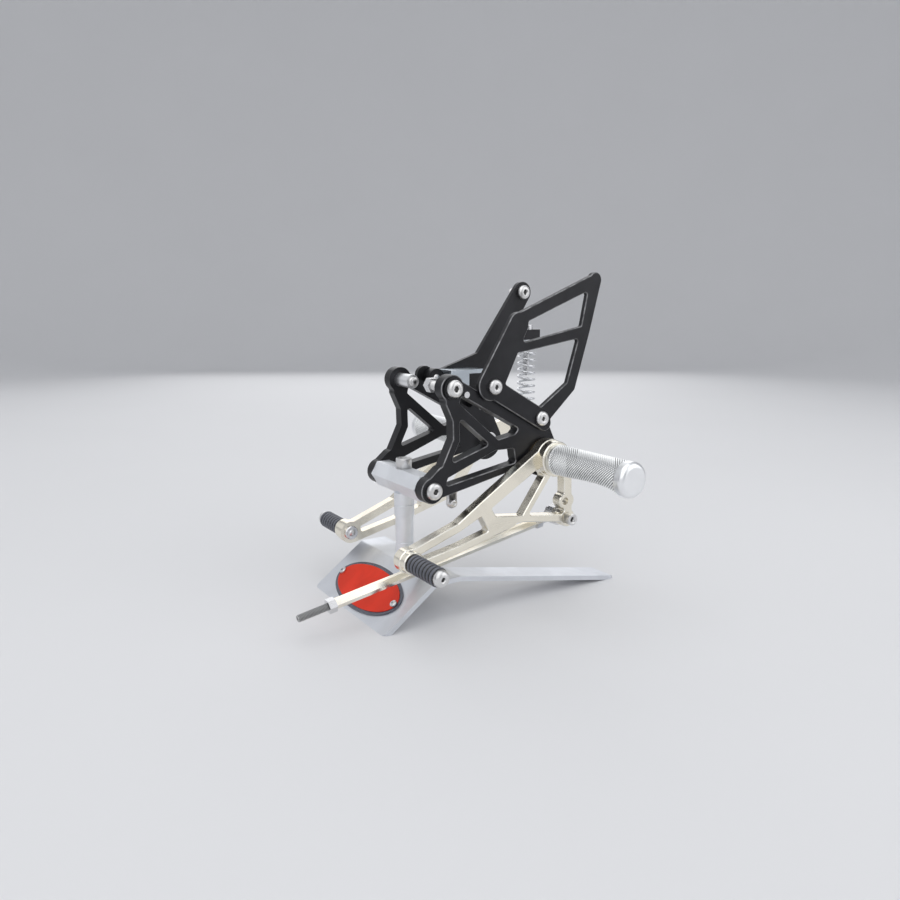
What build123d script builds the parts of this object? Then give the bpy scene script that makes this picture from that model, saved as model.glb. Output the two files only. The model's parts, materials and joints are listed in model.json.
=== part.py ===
from build123d import *
import math
import os

# A pair of rear-set motorcycle foot controls on their display stand: two truss plates joined
# by a hexagon bar, each with a fixed foot peg, a lever, a toe peg and a heel guard.
#
# Each half is drawn flat and then stood up on its side of the middle plane. In the flat
# drawing the first number runs rearwards from the bar's axis, the second up from it and the
# third outwards from the middle plane. All sizes are in millimetres.

# Stand
BAR_FLATS = 20.0
BAR_LENGTH = 72.0
POST_DIAMETER = 15.0
COLLAR_STEP = 0.8
COLLAR_HEIGHT = 20.0
FOOT_RING = 15.0
RING_GROOVE = 0.5
SHEET = 4.0
SHEET_WIDTH = 126.0
RIDGE_HEIGHT = 34.0
RIDGE_ROUND = 4.0
FLAP_TILT = 36.5
SHELF_DEPTH = 23.0
SHELF_LIP = 1.0
ROD_OVER_RIDGE = 1.1
TAIL_WIDTH = 26.0
TAIL_END = 178.0
TAIL_TIP = 2.5
PLAQUE_LENGTH = 100.0
PLAQUE_HEIGHT = 43.0
PLAQUE_DROP = 4.0
PLAQUE_RIM = 3.0
PLAQUE_THICKNESS = 1.0
FACE_THICKNESS = 0.6
PLAQUE_SCREW = 3.0
PLAQUE_SCREW_INSET = 5.0
PLAQUE_SCREW_HEAD = 6.0
PLAQUE_SCREW_HEAD_HEIGHT = 2.1
PLAQUE_SCREW_ROUND = 1.2
PLAQUE_SCREW_KEY = 2.0

# Stack outwards from the bar's end
PLATE_THICKNESS = 10.0
WASHER_THICKNESS = 2.7
END_PLAY = 0.3
LEVER_THICKNESS = 9.0
HUB_LENGTH = 7.0
TOE_BOSS_LENGTH = 6.0
SHIFT_GUARD_THICKNESS = 4.0
BRAKE_GUARD_THICKNESS = 5.0
EDGE_BREAK = 0.7
CORNER_ROUND = 2.0
CUT = 1.0

# Places in the flat drawing
FRAME_BOLT = (18.0, 78.5)
BAR_BOLT = (0.0, 0.0)
PIVOT = (108.0, 16.5)
GUARD_FRONT = (54.5, 78.0)
GUARD_REAR = (102.5, 49.0)
TOE = (-28.0, -48.5)
ROD_EYE = (128.0, -38.5)
ROD_TIP = (-113.0, -80.5)
SPARE_HOLE = (124.5, -23.0)
SPRING_SEAT = (168.0, 37.0)
SPRING_TOP = 103.0
CYLINDER_BOLT = (156.0, 152.0)

# Mount plate: lobes, places, steps from the bolts, and half-widths at the ends of each arm
PLATE_LOBE = 10.5
PIVOT_BOSS = 17.5
PLATE_EAR = 8.0
EAR_FOOT = (-2.5, -14.0)
EAR_FOOT_HALF = 5.0
KNOT = (61.0, 30.0)
WEB_TOP = (86.0, 32.0)
WEB_LOW = (88.0, 19.5)
WEB_HALF = 9.0
NECK_STEP = 1.0
FRAME_NECK = (1.0, -13.0)
FRAME_NECK_HALF = 5.0
BAR_NECK = (9.0, 12.0)
BAR_NECK_HALF = 6.0
RIM_TOP = (-3.0, -11.0)
RIM_UPPER_BEND = (21.4, 53.5)
RIM_LOWER_BEND = (21.8, 38.0)
RIM_LOW = (11.0, 16.0)
RIM_HALF = 3.2
TOP_ARM_ROOT = (2.0, 3.0)
TOP_ARM_END = (92.0, 42.0)
TOP_ARM = (5.0, 4.8)
MIDDLE_ARM = (4.2, 4.0)
RISING_ARM = (5.0, 3.4)
LOWER_ARM_ROOT = (6.0, -3.0)
LOWER_ARM_DROP = (0.0, -7.5)
LOWER_ARM = (4.0, 2.8)
KNOT_ARM = (4.2, 6.5)

# Levers: places, steps from pivot, toe and eye, and half-widths at the ends of each arm
LEVER_RING = 15.5
ARM_ROOT = (-8.0, 3.0)
KNEE = (40.0, -16.5)
HEEL = (48.0, -30.0)
LOWER_JOINT = (80.0, -31.8)
FORK_TOP_BEND = (17.0, -29.0)
FORK_TOP_END = (5.0, 6.0)
FORK_LOW_BEND = (17.0, -46.8)
FORK_LOW_END = (3.0, -6.2)
FORK_LOW_ROOT = (70.0, -33.6)
UPPER_ARM = (6.6, 5.4, 3.4, 3.4)
LOWER_FORK = (3.2, 2.8, 3.0)
KNEE_ARM = (5.0, 6.0)
HEEL_ARM = (5.0, 2.8)
STRUT_ROOT = (-2.5, -14.0)
STRUT = (3.0, 2.6)
REAR_ARM = (2.8, 3.4)
LEG_ROOT = (18.4, -6.0)
LEG_FOOT = (0.5, 0.0)
LEG = (4.3, 4.2)
LEG_LOBE = 7.6
SPARE_BOSS = 6.4
SPARE_BOSS_REACH = (3.5, 0.0)
BRAKE_ARM_HALF = 10.0
BRAKE_DROP = 2.0

# Guards: places, steps from the guard bolts, and half-widths at the ends of each rail
GUARD_HALF = 8.0
GUARD_NOSE = (-6.0, 2.0)
GUARD_FOOT = (-2.5, 1.0)
GUARD_HEEL = (4.5, -4.5)
GUARD_HEEL_HALF = 6.5
SHOULDER = (78.5, 126.5)
CROWN = (158.5, 161.5)
ELBOW = (148.5, 119.5)
HOCK = (134.2, 73.5)
FRONT_LEG = (12.0, 9.5)
TOP_RAIL_ROOT = (2.0, 4.5)
TOP_RAIL = (5.0, 5.5)
CROSS_RAIL_ROOT = (80.0, 107.5)
CROSS_RAIL = (3.6, 4.8)
CROWN_HALF = 6.5
REAR_RAIL_HALF = 5.2
CYLINDER_ARM_ROOT = (98.0, 67.0)
CYLINDER_ARM = (12.0, 9.5)
BRACE_ROOT = (10.0, -4.0)
BRACE_END = (112.0, 89.0)
BRACE = (9.5, 10.0)
BRANCH_ROOT = 131.0
BRANCH = (9.0, 3.2)

# Pivot, peg and fasteners
SLEEVE_DIAMETER = 18.0
BUSH_WALL = 1.5
WASHER_INSET = 1.5
RUNNING_CLEARANCE = 0.05
HOLE_CLEARANCE = 0.2
FIT_CLEARANCE = 0.05
PEG_BOLT = 10.0
PEG_BOLT_HEAD = 18.0
PEG_BOLT_HEAD_HEIGHT = 6.0
PEG_BOLT_KEY = 8.0
PEG_BOLT_GRIP = 24.0
PEG_LENGTH = 79.0
PEG_ROOT = 12.6
PEG_WAIST = 12.0
PEG_FLARE = 12.3
PEG_TIP = 13.9
CAP_THICKNESS = 8.0
CAP_ROUND = 4.5
CAP_SPIGOT = 14.0
CAP_SPIGOT_LENGTH = 10.0
HEAD_ROUND = 0.8
SOCKET_SHARE = 0.6
DOME_SHARE = 0.7
M8 = 8.0
M8_HEAD = 14.0
M8_HEAD_HEIGHT = 5.0
M8_KEY = 5.0
M6 = 6.0
M6_HEAD = 12.5
M6_HEAD_HEIGHT = 4.2
M6_KEY = 4.0
FLAT_WASHER_DIAMETER = 17.0
FLAT_WASHER_THICKNESS = 1.4
FRAME_BOLT_REACH = 25.0
FRAME_BOLT_PROUD = 1.0
BAR_BOLT_GRIP = 22.0
POST_BOLT_HEAD = 13.0
POST_BOLT_HEAD_HEIGHT = 8.5
POST_BOLT_KEY = 6.0
POST_BOLT_GRIP = 20.0
FRAME_NUT_FLATS = 11.0
FRAME_NUT_LENGTH = 7.0
SLEEVE_SPACER = 11.5
SLEEVE_SPACER_LENGTH = 21.0
DOWEL = 5.0
DOWEL_STAND = 1.2
DOWEL_STEP = (12.5, -5.5)
CLIP_STEP = (24.0, -3.0)
CLIP_DROP = 12.0
CLIP_HALVES = (4.0, 4.5)
CLIP_THICKNESS = 2.0
CLIP_SCREW = 5.0
CLIP_SCREW_HEAD = 7.5
CLIP_SCREW_HEAD_HEIGHT = 3.6
CLIP_SCREW_KEY = 3.0
CLIP_SCREW_PROUD = 1.0

# Toe peg
TOE_LOBE = 9.5
TOE_SPOOL = 9.0
TOE_RUBBER = 15.0
TOE_RUBBER_LENGTH = 36.0
TOE_RIBS = 8
TOE_GROOVE = 1.3
TOE_SCREW_HEAD = 13.0
TOE_SCREW_HEAD_HEIGHT = 5.5
TOE_FLANGE = 12.0
TOE_FLANGE_THICKNESS = 2.4

# Tie rod
ROD_FLATS = 7.2
ROD_STUD = 5.8
ROD_STUD_LENGTH = 24.0
ROD_NUT_FLATS = 10.0
ROD_NUT_LENGTH = 6.0
ROD_BOLT_HEAD = 10.0
ROD_BOLT_HEAD_HEIGHT = 6.5
ROD_BOLT_KEY = 5.0
ROD_BOLT_NUT_LENGTH = 5.0
ROD_BOLT_PROUD = 1.0
EYE_RADIUS = 9.0
EYE_WIDTH = 7.6
EYE_SHANK = 7.2
EYE_SHANK_LENGTH = 18.0
BALL_RADIUS = 6.6
BALL_WIDTH = 9.0
BALL_CLEARANCE = 0.08
SPACER_LENGTH = 2.5
SPACER_WALL = 1.8

# Brake return spring and hose bracket
SPRING_DIAMETER = 18.0
SPRING_WIRE = 2.4
SPRING_COILS = 10
SEAT_THICKNESS = 4.5
CUP_DIAMETER = 19.0
CUP_THICKNESS = 2.5
CUP_STUB = 11.0
CUP_STUB_LENGTH = 5.0
GUIDE_PIN = 6.0
GUIDE_PIN_HEAD = 11.0
GUIDE_PIN_HEAD_HEIGHT = 4.2
GUIDE_PIN_KEY = 3.0
GUIDE_PIN_REACH = 30.0
PAD_LENGTH = 15.0
PAD_HEIGHT = 8.0
LUG_HEIGHT = 9.5
LUG_LENGTH = 20.0
LUG_OVERHANG = 8.5
CYLINDER_BOLT_HEAD = 13.0
CYLINDER_BOLT_STAND = 12.0
BRACKET_GAP = 0.5
BRACKET_DROP = 8.0
BRACKET_BODY = (22.0, 11.0, 16.0)
BRACKET_TOP = 3.5
BRACKET_LENGTH = 35.0
BRACKET_REACH = 20.0

# Faces across the stack, counted outwards from the middle plane
plate_in = BAR_LENGTH / 2
plate_out = plate_in + PLATE_THICKNESS
washer_out = plate_out + WASHER_THICKNESS
lever_in = washer_out + END_PLAY
lever_out = lever_in + LEVER_THICKNESS
hub_out = lever_out + HUB_LENGTH
toe_seat = lever_out + TOE_BOSS_LENGTH
toe_end = toe_seat + TOE_RUBBER_LENGTH
peg_root = hub_out + END_PLAY
lever_middle = (lever_in + lever_out) / 2
rod_out = lever_in - SPACER_LENGTH - BALL_WIDTH / 2

# The post is as long as the tie rod needs to pass over the sheet's ridge
ridge_front = -POST_DIAMETER / 2 - SHELF_LIP
rod_slope = (ROD_EYE[1] - ROD_TIP[1]) / (ROD_EYE[0] - ROD_TIP[0])
rod_over_front = ROD_EYE[1] - rod_slope * (ROD_EYE[0] - ridge_front)
rod_under = rod_over_front - ROD_FLATS / 2 * math.hypot(1.0, rod_slope)
bar_height = RIDGE_HEIGHT + ROD_OVER_RIDGE - rod_under
post_top = bar_height - BAR_FLATS / 2


def shifted(point, step):
    """A point moved by a step rearwards and up in the flat drawing."""
    return (point[0] + step[0], point[1] + step[1])


def disc(at, radius):
    """A round face about a point of the flat drawing."""
    return Pos(*at) * Circle(radius)


def bar(start, end, start_half, end_half):
    """A tapered bar with round ends, from one point of the flat drawing to another."""
    length = math.dist(start, end)
    heading = math.atan2(end[1] - start[1], end[0] - start[0])
    lean = math.acos((start_half - end_half) / length)
    corners = []
    first = (start, start_half)
    last = (end, end_half)
    for (middle, half), side in ((first, 1), (last, 1), (last, -1), (first, -1)):
        angle = heading + side * lean
        corners.append((middle[0] + half * math.cos(angle), middle[1] + half * math.sin(angle)))
    return disc(start, start_half) + disc(end, end_half) + make_face(Polyline(*corners, close=True))


def chain(points, halves):
    """Bars end to end through several points."""
    links = [bar(points[i], points[i + 1], halves[i], halves[i + 1]) for i in range(len(points) - 1)]
    return Sketch() + links


def slab(face, low, high):
    """A face of the flat drawing, made thick from one distance outwards to another."""
    return extrude(Pos(0, 0, low) * face, high - low)


def rod(at, radius, low, high):
    """A round bar across the stack."""
    return slab(disc(at, radius), low, high)


def drilled(body, at, radius, low, high):
    """A piece with a round hole across the stack, cut past both faces."""
    return body - rod(at, radius, low - CUT, high + CUT)


def clear(size):
    """Radius of a hole that a screw of this size passes through freely."""
    return size / 2 + HOLE_CLEARANCE


def snug(size):
    """Radius of a hole that a screw or pin of this size is held in."""
    return size / 2 + FIT_CLEARANCE


def screw(head, head_height, head_round, shank, length, key):
    """A round-headed screw along +Z, with its seat at zero and a hexagon socket in its head."""
    body = extrude(Circle(head / 2), head_height)
    body = fillet(body.edges().group_by(Axis.Z)[-1], head_round)
    socket_floor = head_height * (1 - SOCKET_SHARE)
    socket = extrude(Pos(0, 0, socket_floor) * hexagon(key), head_height)
    return body - socket + extrude(Circle(shank / 2), -length)


def button_screw(size, head, head_height, key, length):
    """A domed screw such as those that hold the plates."""
    return screw(head, head_height, head_height * DOME_SHARE, size, length, key)


def outward(at, out):
    """Where a screw drawn along +Z sits in the flat drawing."""
    return Pos(at[0], at[1], out)


def inward(at, out):
    """As outward, with the screw's head towards the middle plane."""
    return Pos(at[0], at[1], out) * Rot(180, 0, 0)


def hexagon(flats):
    """A hexagon by its size across flats."""
    return RegularPolygon(flats / 2, 6, major_radius=False)


def milled(face, low, high):
    """A face made thick as a milled plate: inner corners rounded, outer edges broken."""
    grown = offset(face, CORNER_ROUND, kind=Kind.ARC)
    body = slab(offset(grown, -CORNER_ROUND, kind=Kind.ARC), low, high)
    return chamfer(body.faces().sort_by(Axis.Z)[-1].edges(), EDGE_BREAK)


def plate_face():
    """The truss plate: three lobes, four arms, a curved front rim and the pivot's web."""
    frame_neck = shifted(FRAME_BOLT, FRAME_NECK)
    bar_neck = shifted(BAR_BOLT, BAR_NECK)
    neck_half = PLATE_LOBE - NECK_STEP
    rim = [shifted(FRAME_BOLT, RIM_TOP), RIM_UPPER_BEND, RIM_LOWER_BEND, shifted(BAR_BOLT, RIM_LOW)]
    return Sketch() + [
        disc(FRAME_BOLT, PLATE_LOBE),
        disc(BAR_BOLT, PLATE_LOBE),
        chain(rim, [RIM_HALF] * len(rim)),
        bar(shifted(FRAME_BOLT, TOP_ARM_ROOT), TOP_ARM_END, *TOP_ARM),
        bar(frame_neck, KNOT, *MIDDLE_ARM),
        bar(bar_neck, KNOT, *RISING_ARM),
        bar(shifted(BAR_BOLT, LOWER_ARM_ROOT), shifted(WEB_LOW, LOWER_ARM_DROP), *LOWER_ARM),
        bar(FRAME_BOLT, frame_neck, neck_half, FRAME_NECK_HALF),
        bar(BAR_BOLT, bar_neck, neck_half, BAR_NECK_HALF),
        bar(KNOT, WEB_TOP, *KNOT_ARM),
        bar(PIVOT, GUARD_REAR, PIVOT_BOSS, PLATE_EAR),
        bar(PIVOT, WEB_LOW, PIVOT_BOSS, WEB_HALF),
        bar(PIVOT, WEB_TOP, PIVOT_BOSS, WEB_HALF),
        bar(WEB_TOP, WEB_LOW, WEB_HALF, WEB_HALF),
        bar(WEB_TOP, GUARD_REAR, WEB_HALF, PLATE_EAR),
        bar(GUARD_FRONT, shifted(GUARD_FRONT, EAR_FOOT), PLATE_EAR, EAR_FOOT_HALF),
    ]


def mount_plate():
    """The plate with its bolt holes."""
    body = milled(plate_face(), plate_in, plate_out)
    holes = ((FRAME_BOLT, M8), (BAR_BOLT, M8), (PIVOT, PEG_BOLT), (GUARD_FRONT, M6), (GUARD_REAR, M6))
    for at, size in holes:
        body = drilled(body, at, clear(size), plate_in, plate_out)
    return body


def lever_front():
    """What both levers share: ring, arms, toe fork and strut."""
    upper = [shifted(PIVOT, ARM_ROOT), KNEE, FORK_TOP_BEND, shifted(TOE, FORK_TOP_END)]
    lower = [shifted(TOE, FORK_LOW_END), FORK_LOW_BEND, FORK_LOW_ROOT]
    return Sketch() + [
        disc(PIVOT, LEVER_RING),
        chain(upper, UPPER_ARM),
        disc(TOE, TOE_LOBE),
        chain(lower, LOWER_FORK),
        bar(KNEE, HEEL, *KNEE_ARM),
        bar(HEEL, LOWER_JOINT, *HEEL_ARM),
        bar(shifted(PIVOT, STRUT_ROOT), LOWER_JOINT, *STRUT),
    ]


def shift_lever_face():
    """The shift lever adds a lower arm and a rear leg down to the tie rod."""
    return lever_front() + [
        bar(LOWER_JOINT, ROD_EYE, *REAR_ARM),
        bar(shifted(PIVOT, LEG_ROOT), shifted(ROD_EYE, LEG_FOOT), *LEG),
        bar(SPARE_HOLE, shifted(SPARE_HOLE, SPARE_BOSS_REACH), SPARE_BOSS, SPARE_BOSS),
        disc(ROD_EYE, LEG_LOBE),
    ]


def about_pivot(angle):
    """A turn about the pivot, toe down, by an angle in degrees."""
    return Pos(*PIVOT) * Rot(0, 0, angle) * Pos(-PIVOT[0], -PIVOT[1])


def brake_lever_face():
    """The brake lever adds a rear arm that is under the spring's seat when the toe hangs at rest."""
    seat = about_pivot(-BRAKE_DROP) * Pos(SPRING_SEAT[0], SPRING_SEAT[1] - PAD_HEIGHT)
    return lever_front() + bar(PIVOT, (seat.position.X, seat.position.Y), BRAKE_ARM_HALF, PAD_LENGTH / 2)


def boss(at, radius, high):
    """A turned boss on a lever's outer face, inside the broken edge of its lobe."""
    body = rod(at, radius - EDGE_BREAK, lever_in, high)
    return chamfer(body.edges().group_by(Axis.Z)[-1], EDGE_BREAK)


def lever(face, holes):
    """A lever with its hub and toe boss, its pivot bore and the given screw holes."""
    body = milled(face, lever_in, lever_out)
    body += boss(PIVOT, LEVER_RING, hub_out)
    body += boss(TOE, TOE_LOBE, toe_seat)
    bore = bush_bore() + BUSH_WALL + FIT_CLEARANCE
    body = drilled(body, PIVOT, bore, lever_in, hub_out)
    for at in holes:
        body = drilled(body, at, clear(M6), lever_in, toe_seat)
    return body


def shift_lever():
    """The shift lever, with its spare hole for another tie rod place."""
    return lever(shift_lever_face(), (TOE, ROD_EYE, SPARE_HOLE))


def brake_lever():
    """The brake lever at rest, its toe a little lower, with the level pad under the spring's cup."""
    pad = Pos(SPRING_SEAT[0], SPRING_SEAT[1] - PAD_HEIGHT / 2) * Rectangle(PAD_LENGTH, PAD_HEIGHT)
    return about_pivot(BRAKE_DROP) * lever(brake_lever_face(), (TOE,)) + slab(pad, lever_in, lever_out)


def pivot_sleeve():
    """The tube that the lever turns on, clamped between plate and peg."""
    tube = rod(PIVOT, SLEEVE_DIAMETER / 2, plate_out, peg_root)
    return drilled(tube, PIVOT, clear(PEG_BOLT), plate_out, peg_root)


def bush_bore():
    """Radius of the bush's bore, which runs on the sleeve."""
    return SLEEVE_DIAMETER / 2 + RUNNING_CLEARANCE


def lever_bush():
    """The bronze bush pressed into the lever."""
    return slab(disc(PIVOT, bush_bore() + BUSH_WALL) - disc(PIVOT, bush_bore()), lever_in, hub_out)


def thrust_washer():
    """The washer that holds the lever off the plate."""
    washer = rod(PIVOT, LEVER_RING - WASHER_INSET, plate_out, washer_out)
    return drilled(washer, PIVOT, clear(SLEEVE_DIAMETER), plate_out, washer_out)


def peg_section(along, radius):
    """One round section of the peg; the top line of the peg stays straight."""
    return Pos(PIVOT[0], PIVOT[1] + PEG_ROOT - radius, peg_root + along) * Circle(radius)


def footpeg():
    """The peg: straight on top, hollowed below, flared at the tip, drilled for bolt and cap."""
    stations = ((0.0, PEG_ROOT), (0.5, PEG_WAIST), (0.8, PEG_FLARE), (1.0, PEG_TIP))
    body = loft([peg_section(share * PEG_LENGTH, radius) for share, radius in stations])
    tip = peg_root + PEG_LENGTH
    body = drilled(body, PIVOT, snug(PEG_BOLT), peg_root, peg_root + PEG_BOLT_GRIP)
    return drilled(body, cap_centre(), snug(CAP_SPIGOT), tip - CAP_SPIGOT_LENGTH, tip)


def cap_centre():
    """The middle of the peg's tip in the flat drawing."""
    return shifted(PIVOT, (0, PEG_ROOT - PEG_TIP))


def peg_end_cap():
    """The smooth round-nosed cap on the peg's tip."""
    tip = peg_root + PEG_LENGTH
    nose = rod(cap_centre(), PEG_TIP, tip, tip + CAP_THICKNESS)
    nose = fillet(nose.edges().group_by(Axis.Z)[-1], CAP_ROUND)
    return nose + rod(cap_centre(), CAP_SPIGOT / 2, tip - CAP_SPIGOT_LENGTH, tip)


def peg_bolt():
    """The bolt from inside the plate through the sleeve into the peg."""
    reach = peg_root - plate_in + PEG_BOLT_GRIP
    bolt = screw(PEG_BOLT_HEAD, PEG_BOLT_HEAD_HEIGHT, HEAD_ROUND, PEG_BOLT, reach, PEG_BOLT_KEY)
    return inward(PIVOT, plate_in) * bolt


def toe_spool():
    """The steel tube inside the toe peg."""
    return drilled(rod(TOE, TOE_SPOOL / 2, toe_seat, toe_end), TOE, clear(M6), toe_seat, toe_end)


def toe_rubber():
    """The ribbed rubber sleeve of the toe peg."""
    inner = snug(TOE_SPOOL)
    outer = TOE_RUBBER / 2
    pitch = TOE_RUBBER_LENGTH / TOE_RIBS
    wall = Pos((inner + outer) / 2, TOE_RUBBER_LENGTH / 2) * Rectangle(outer - inner, TOE_RUBBER_LENGTH)
    wall -= [Pos(outer, rib * pitch) * Circle(TOE_GROOVE) for rib in range(1, TOE_RIBS)]
    return outward(TOE, toe_seat) * revolve(Plane.XZ * wall, Axis.Z)


def toe_screw():
    """The domed screw through the toe peg and the lever."""
    length = toe_end - lever_in + TOE_FLANGE_THICKNESS
    return outward(TOE, toe_end) * button_screw(M6, TOE_SCREW_HEAD, TOE_SCREW_HEAD_HEIGHT, M6_KEY, length)


def toe_nut():
    """The low round nut on the lever's inner face."""
    low = lever_in - TOE_FLANGE_THICKNESS
    nut = rod(TOE, TOE_FLANGE / 2, low, lever_in)
    nut = chamfer(nut.edges().group_by(Axis.Z)[0], EDGE_BREAK)
    return drilled(nut, TOE, snug(M6), low, lever_in)


def flat_washer():
    """The washer under the frame bolt's head."""
    high = plate_out + FLAT_WASHER_THICKNESS
    washer = rod(FRAME_BOLT, FLAT_WASHER_DIAMETER / 2, plate_out, high)
    return drilled(washer, FRAME_BOLT, clear(M8), plate_out, high)


def frame_bolt():
    """The long bolt that would hold the plate to the motorcycle."""
    seat = plate_out + FLAT_WASHER_THICKNESS
    length = seat - plate_in + FRAME_BOLT_REACH
    return outward(FRAME_BOLT, seat) * button_screw(M8, M8_HEAD, M8_HEAD_HEIGHT, M8_KEY, length)


def bar_bolt():
    """The bolt into the end of the hexagon bar."""
    length = PLATE_THICKNESS + BAR_BOLT_GRIP
    return outward(BAR_BOLT, plate_out) * button_screw(M8, M8_HEAD, M8_HEAD_HEIGHT, M8_KEY, length)


def guard_bolts(guard_thickness):
    """The two screws that hold the guard to the plate's ears."""
    length = guard_thickness + PLATE_THICKNESS
    one = button_screw(M6, M6_HEAD, M6_HEAD_HEIGHT, M6_KEY, length)
    return Compound([outward(at, plate_out + guard_thickness) * one for at in (GUARD_FRONT, GUARD_REAR)])


def guard_drilled(body, thickness):
    """The guard with its two screw holes."""
    for at in (GUARD_FRONT, GUARD_REAR):
        body = drilled(body, at, clear(M6), plate_out, plate_out + thickness)
    return body


def shift_guard():
    """The open heel guard: a broad front leg, two windows and a slim rear rail."""
    rear = [CROWN, ELBOW, HOCK, GUARD_REAR]
    face = Sketch() + [
        bar(shifted(GUARD_FRONT, GUARD_NOSE), GUARD_REAR, GUARD_HALF, GUARD_HALF),
        bar(shifted(GUARD_FRONT, GUARD_FOOT), SHOULDER, *FRONT_LEG),
        bar(shifted(SHOULDER, TOP_RAIL_ROOT), CROWN, *TOP_RAIL),
        chain(rear, [CROWN_HALF, REAR_RAIL_HALF, REAR_RAIL_HALF, GUARD_HALF]),
        bar(CROSS_RAIL_ROOT, ELBOW, *CROSS_RAIL),
        bar(GUARD_REAR, shifted(GUARD_REAR, GUARD_HEEL), GUARD_HALF, GUARD_HEEL_HALF),
    ]
    return guard_drilled(milled(face, plate_out, plate_out + SHIFT_GUARD_THICKNESS), SHIFT_GUARD_THICKNESS)


def brake_guard():
    """The brake side's arm for the master cylinder, with the lug above the return spring."""
    lug = (SPRING_SEAT[0], spring_lug_low() + LUG_HEIGHT / 2)
    face = Sketch() + [
        bar(shifted(GUARD_FRONT, GUARD_NOSE), GUARD_REAR, GUARD_HALF, GUARD_HALF),
        bar(GUARD_REAR, CYLINDER_ARM_ROOT, GUARD_HALF, CYLINDER_ARM[0]),
        bar(CYLINDER_ARM_ROOT, CYLINDER_BOLT, *CYLINDER_ARM),
        bar(shifted(GUARD_FRONT, BRACE_ROOT), BRACE_END, *BRACE),
        bar((BRANCH_ROOT, lug[1]), lug, *BRANCH),
    ]
    high = plate_out + BRAKE_GUARD_THICKNESS
    body = milled(face, plate_out, high)
    block = Pos(*lug) * Rectangle(LUG_LENGTH, LUG_HEIGHT)
    body += slab(block, plate_out, lever_middle + LUG_OVERHANG)
    body = drilled(body, CYLINDER_BOLT, clear(M8), plate_out, high)
    drill = extrude(Circle(clear(GUIDE_PIN)), LUG_HEIGHT + 2 * CUT)
    return guard_drilled(body - upright(spring_lug_low() - CUT) * drill, BRAKE_GUARD_THICKNESS)


def cylinder_bolt():
    """The bolt at the head of the brake arm, its shank standing out for the master cylinder."""
    length = BRAKE_GUARD_THICKNESS + CYLINDER_BOLT_STAND
    bolt = button_screw(M8, CYLINDER_BOLT_HEAD, M8_HEAD_HEIGHT, M8_KEY, length)
    return inward(CYLINDER_BOLT, plate_out) * bolt


def spring_lug_low():
    """Height of the lug's underside, on top of the spring's upper seat."""
    return SPRING_TOP + SEAT_THICKNESS


def upright(height):
    """Where a piece drawn along +Z stands on the spring's axis in the flat drawing."""
    return Pos(SPRING_SEAT[0], height, lever_middle) * Rot(-90, 0, 0)


def return_spring():
    """The coil spring that lifts the brake lever's toe."""
    low = SPRING_SEAT[1] + CUP_THICKNESS + SPRING_WIRE / 2
    high = SPRING_TOP - SPRING_WIRE / 2
    coil = Helix((high - low) / SPRING_COILS, high - low, (SPRING_DIAMETER - SPRING_WIRE) / 2)
    section = Plane(coil @ 0, z_dir=coil % 0) * Circle(SPRING_WIRE / 2)
    return upright(low) * sweep(section, path=coil)


def spring_cup():
    """The seat on the lever's rear arm, with a stub inside the spring."""
    cup = extrude(Circle(CUP_DIAMETER / 2), CUP_THICKNESS)
    stub = extrude(Circle(CUP_STUB / 2), CUP_THICKNESS + CUP_STUB_LENGTH)
    return upright(SPRING_SEAT[1]) * (cup + stub)


def spring_top_seat():
    """The collar between the spring and the lug."""
    seat = extrude(Circle(SPRING_DIAMETER / 2), SEAT_THICKNESS)
    return upright(SPRING_TOP) * (seat - extrude(Circle(clear(GUIDE_PIN)), SEAT_THICKNESS))


def guide_pin():
    """The pin through the lug and seat that steadies the spring."""
    length = LUG_HEIGHT + SEAT_THICKNESS + GUIDE_PIN_REACH
    pin = screw(GUIDE_PIN_HEAD, GUIDE_PIN_HEAD_HEIGHT, HEAD_ROUND, GUIDE_PIN, length, GUIDE_PIN_KEY)
    return upright(spring_lug_low() + LUG_HEIGHT) * pin


def hose_bracket():
    """The T-shaped block on the inner face of the brake arm."""
    length, height, reach = BRACKET_BODY
    corner = shifted(GUARD_FRONT, (PLATE_EAR + BRACKET_GAP, -BRACKET_DROP))
    body = Pos(corner[0] + length / 2, corner[1] + height / 2) * Rectangle(length, height)
    top = Rectangle(BRACKET_LENGTH, BRACKET_TOP)
    top = Pos(corner[0] + BRACKET_LENGTH / 2, corner[1] + height + BRACKET_TOP / 2) * top
    return slab(body, plate_out - reach, plate_out) + slab(top, plate_out - BRACKET_REACH, plate_out)


def frame_nut():
    """The nut left on the shift side's frame bolt."""
    end = plate_in - FRAME_BOLT_REACH + FRAME_BOLT_PROUD
    face = Pos(*FRAME_BOLT) * hexagon(FRAME_NUT_FLATS)
    return slab(face - disc(FRAME_BOLT, snug(M8)), end, end + FRAME_NUT_LENGTH)


def frame_sleeve():
    """The spacer left on the brake side's frame bolt."""
    ring = disc(FRAME_BOLT, SLEEVE_SPACER / 2) - disc(FRAME_BOLT, clear(M8))
    return slab(ring, plate_in - SLEEVE_SPACER_LENGTH, plate_in)


def on_rod(distance):
    """A frame on the tie rod's line, that far from the eye, with +Z towards the rod's tip."""
    heading = math.degrees(math.atan2(ROD_TIP[1] - ROD_EYE[1], ROD_TIP[0] - ROD_EYE[0]))
    along = Rot(0, 0, heading) * Rot(0, 90, 0)
    return Pos(ROD_EYE[0], ROD_EYE[1], rod_out) * along * Pos(0, 0, distance)


def rod_length():
    """From the eye's centre to the stud's tip."""
    return math.dist(ROD_EYE, ROD_TIP)


def rod_start():
    """Where the hexagon of the tie rod begins, in front of the rear jam nut."""
    return EYE_SHANK_LENGTH + ROD_NUT_LENGTH


def rod_front():
    """Where the hexagon of the tie rod ends, behind the front jam nut."""
    return rod_length() - ROD_STUD_LENGTH - ROD_NUT_LENGTH


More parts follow.
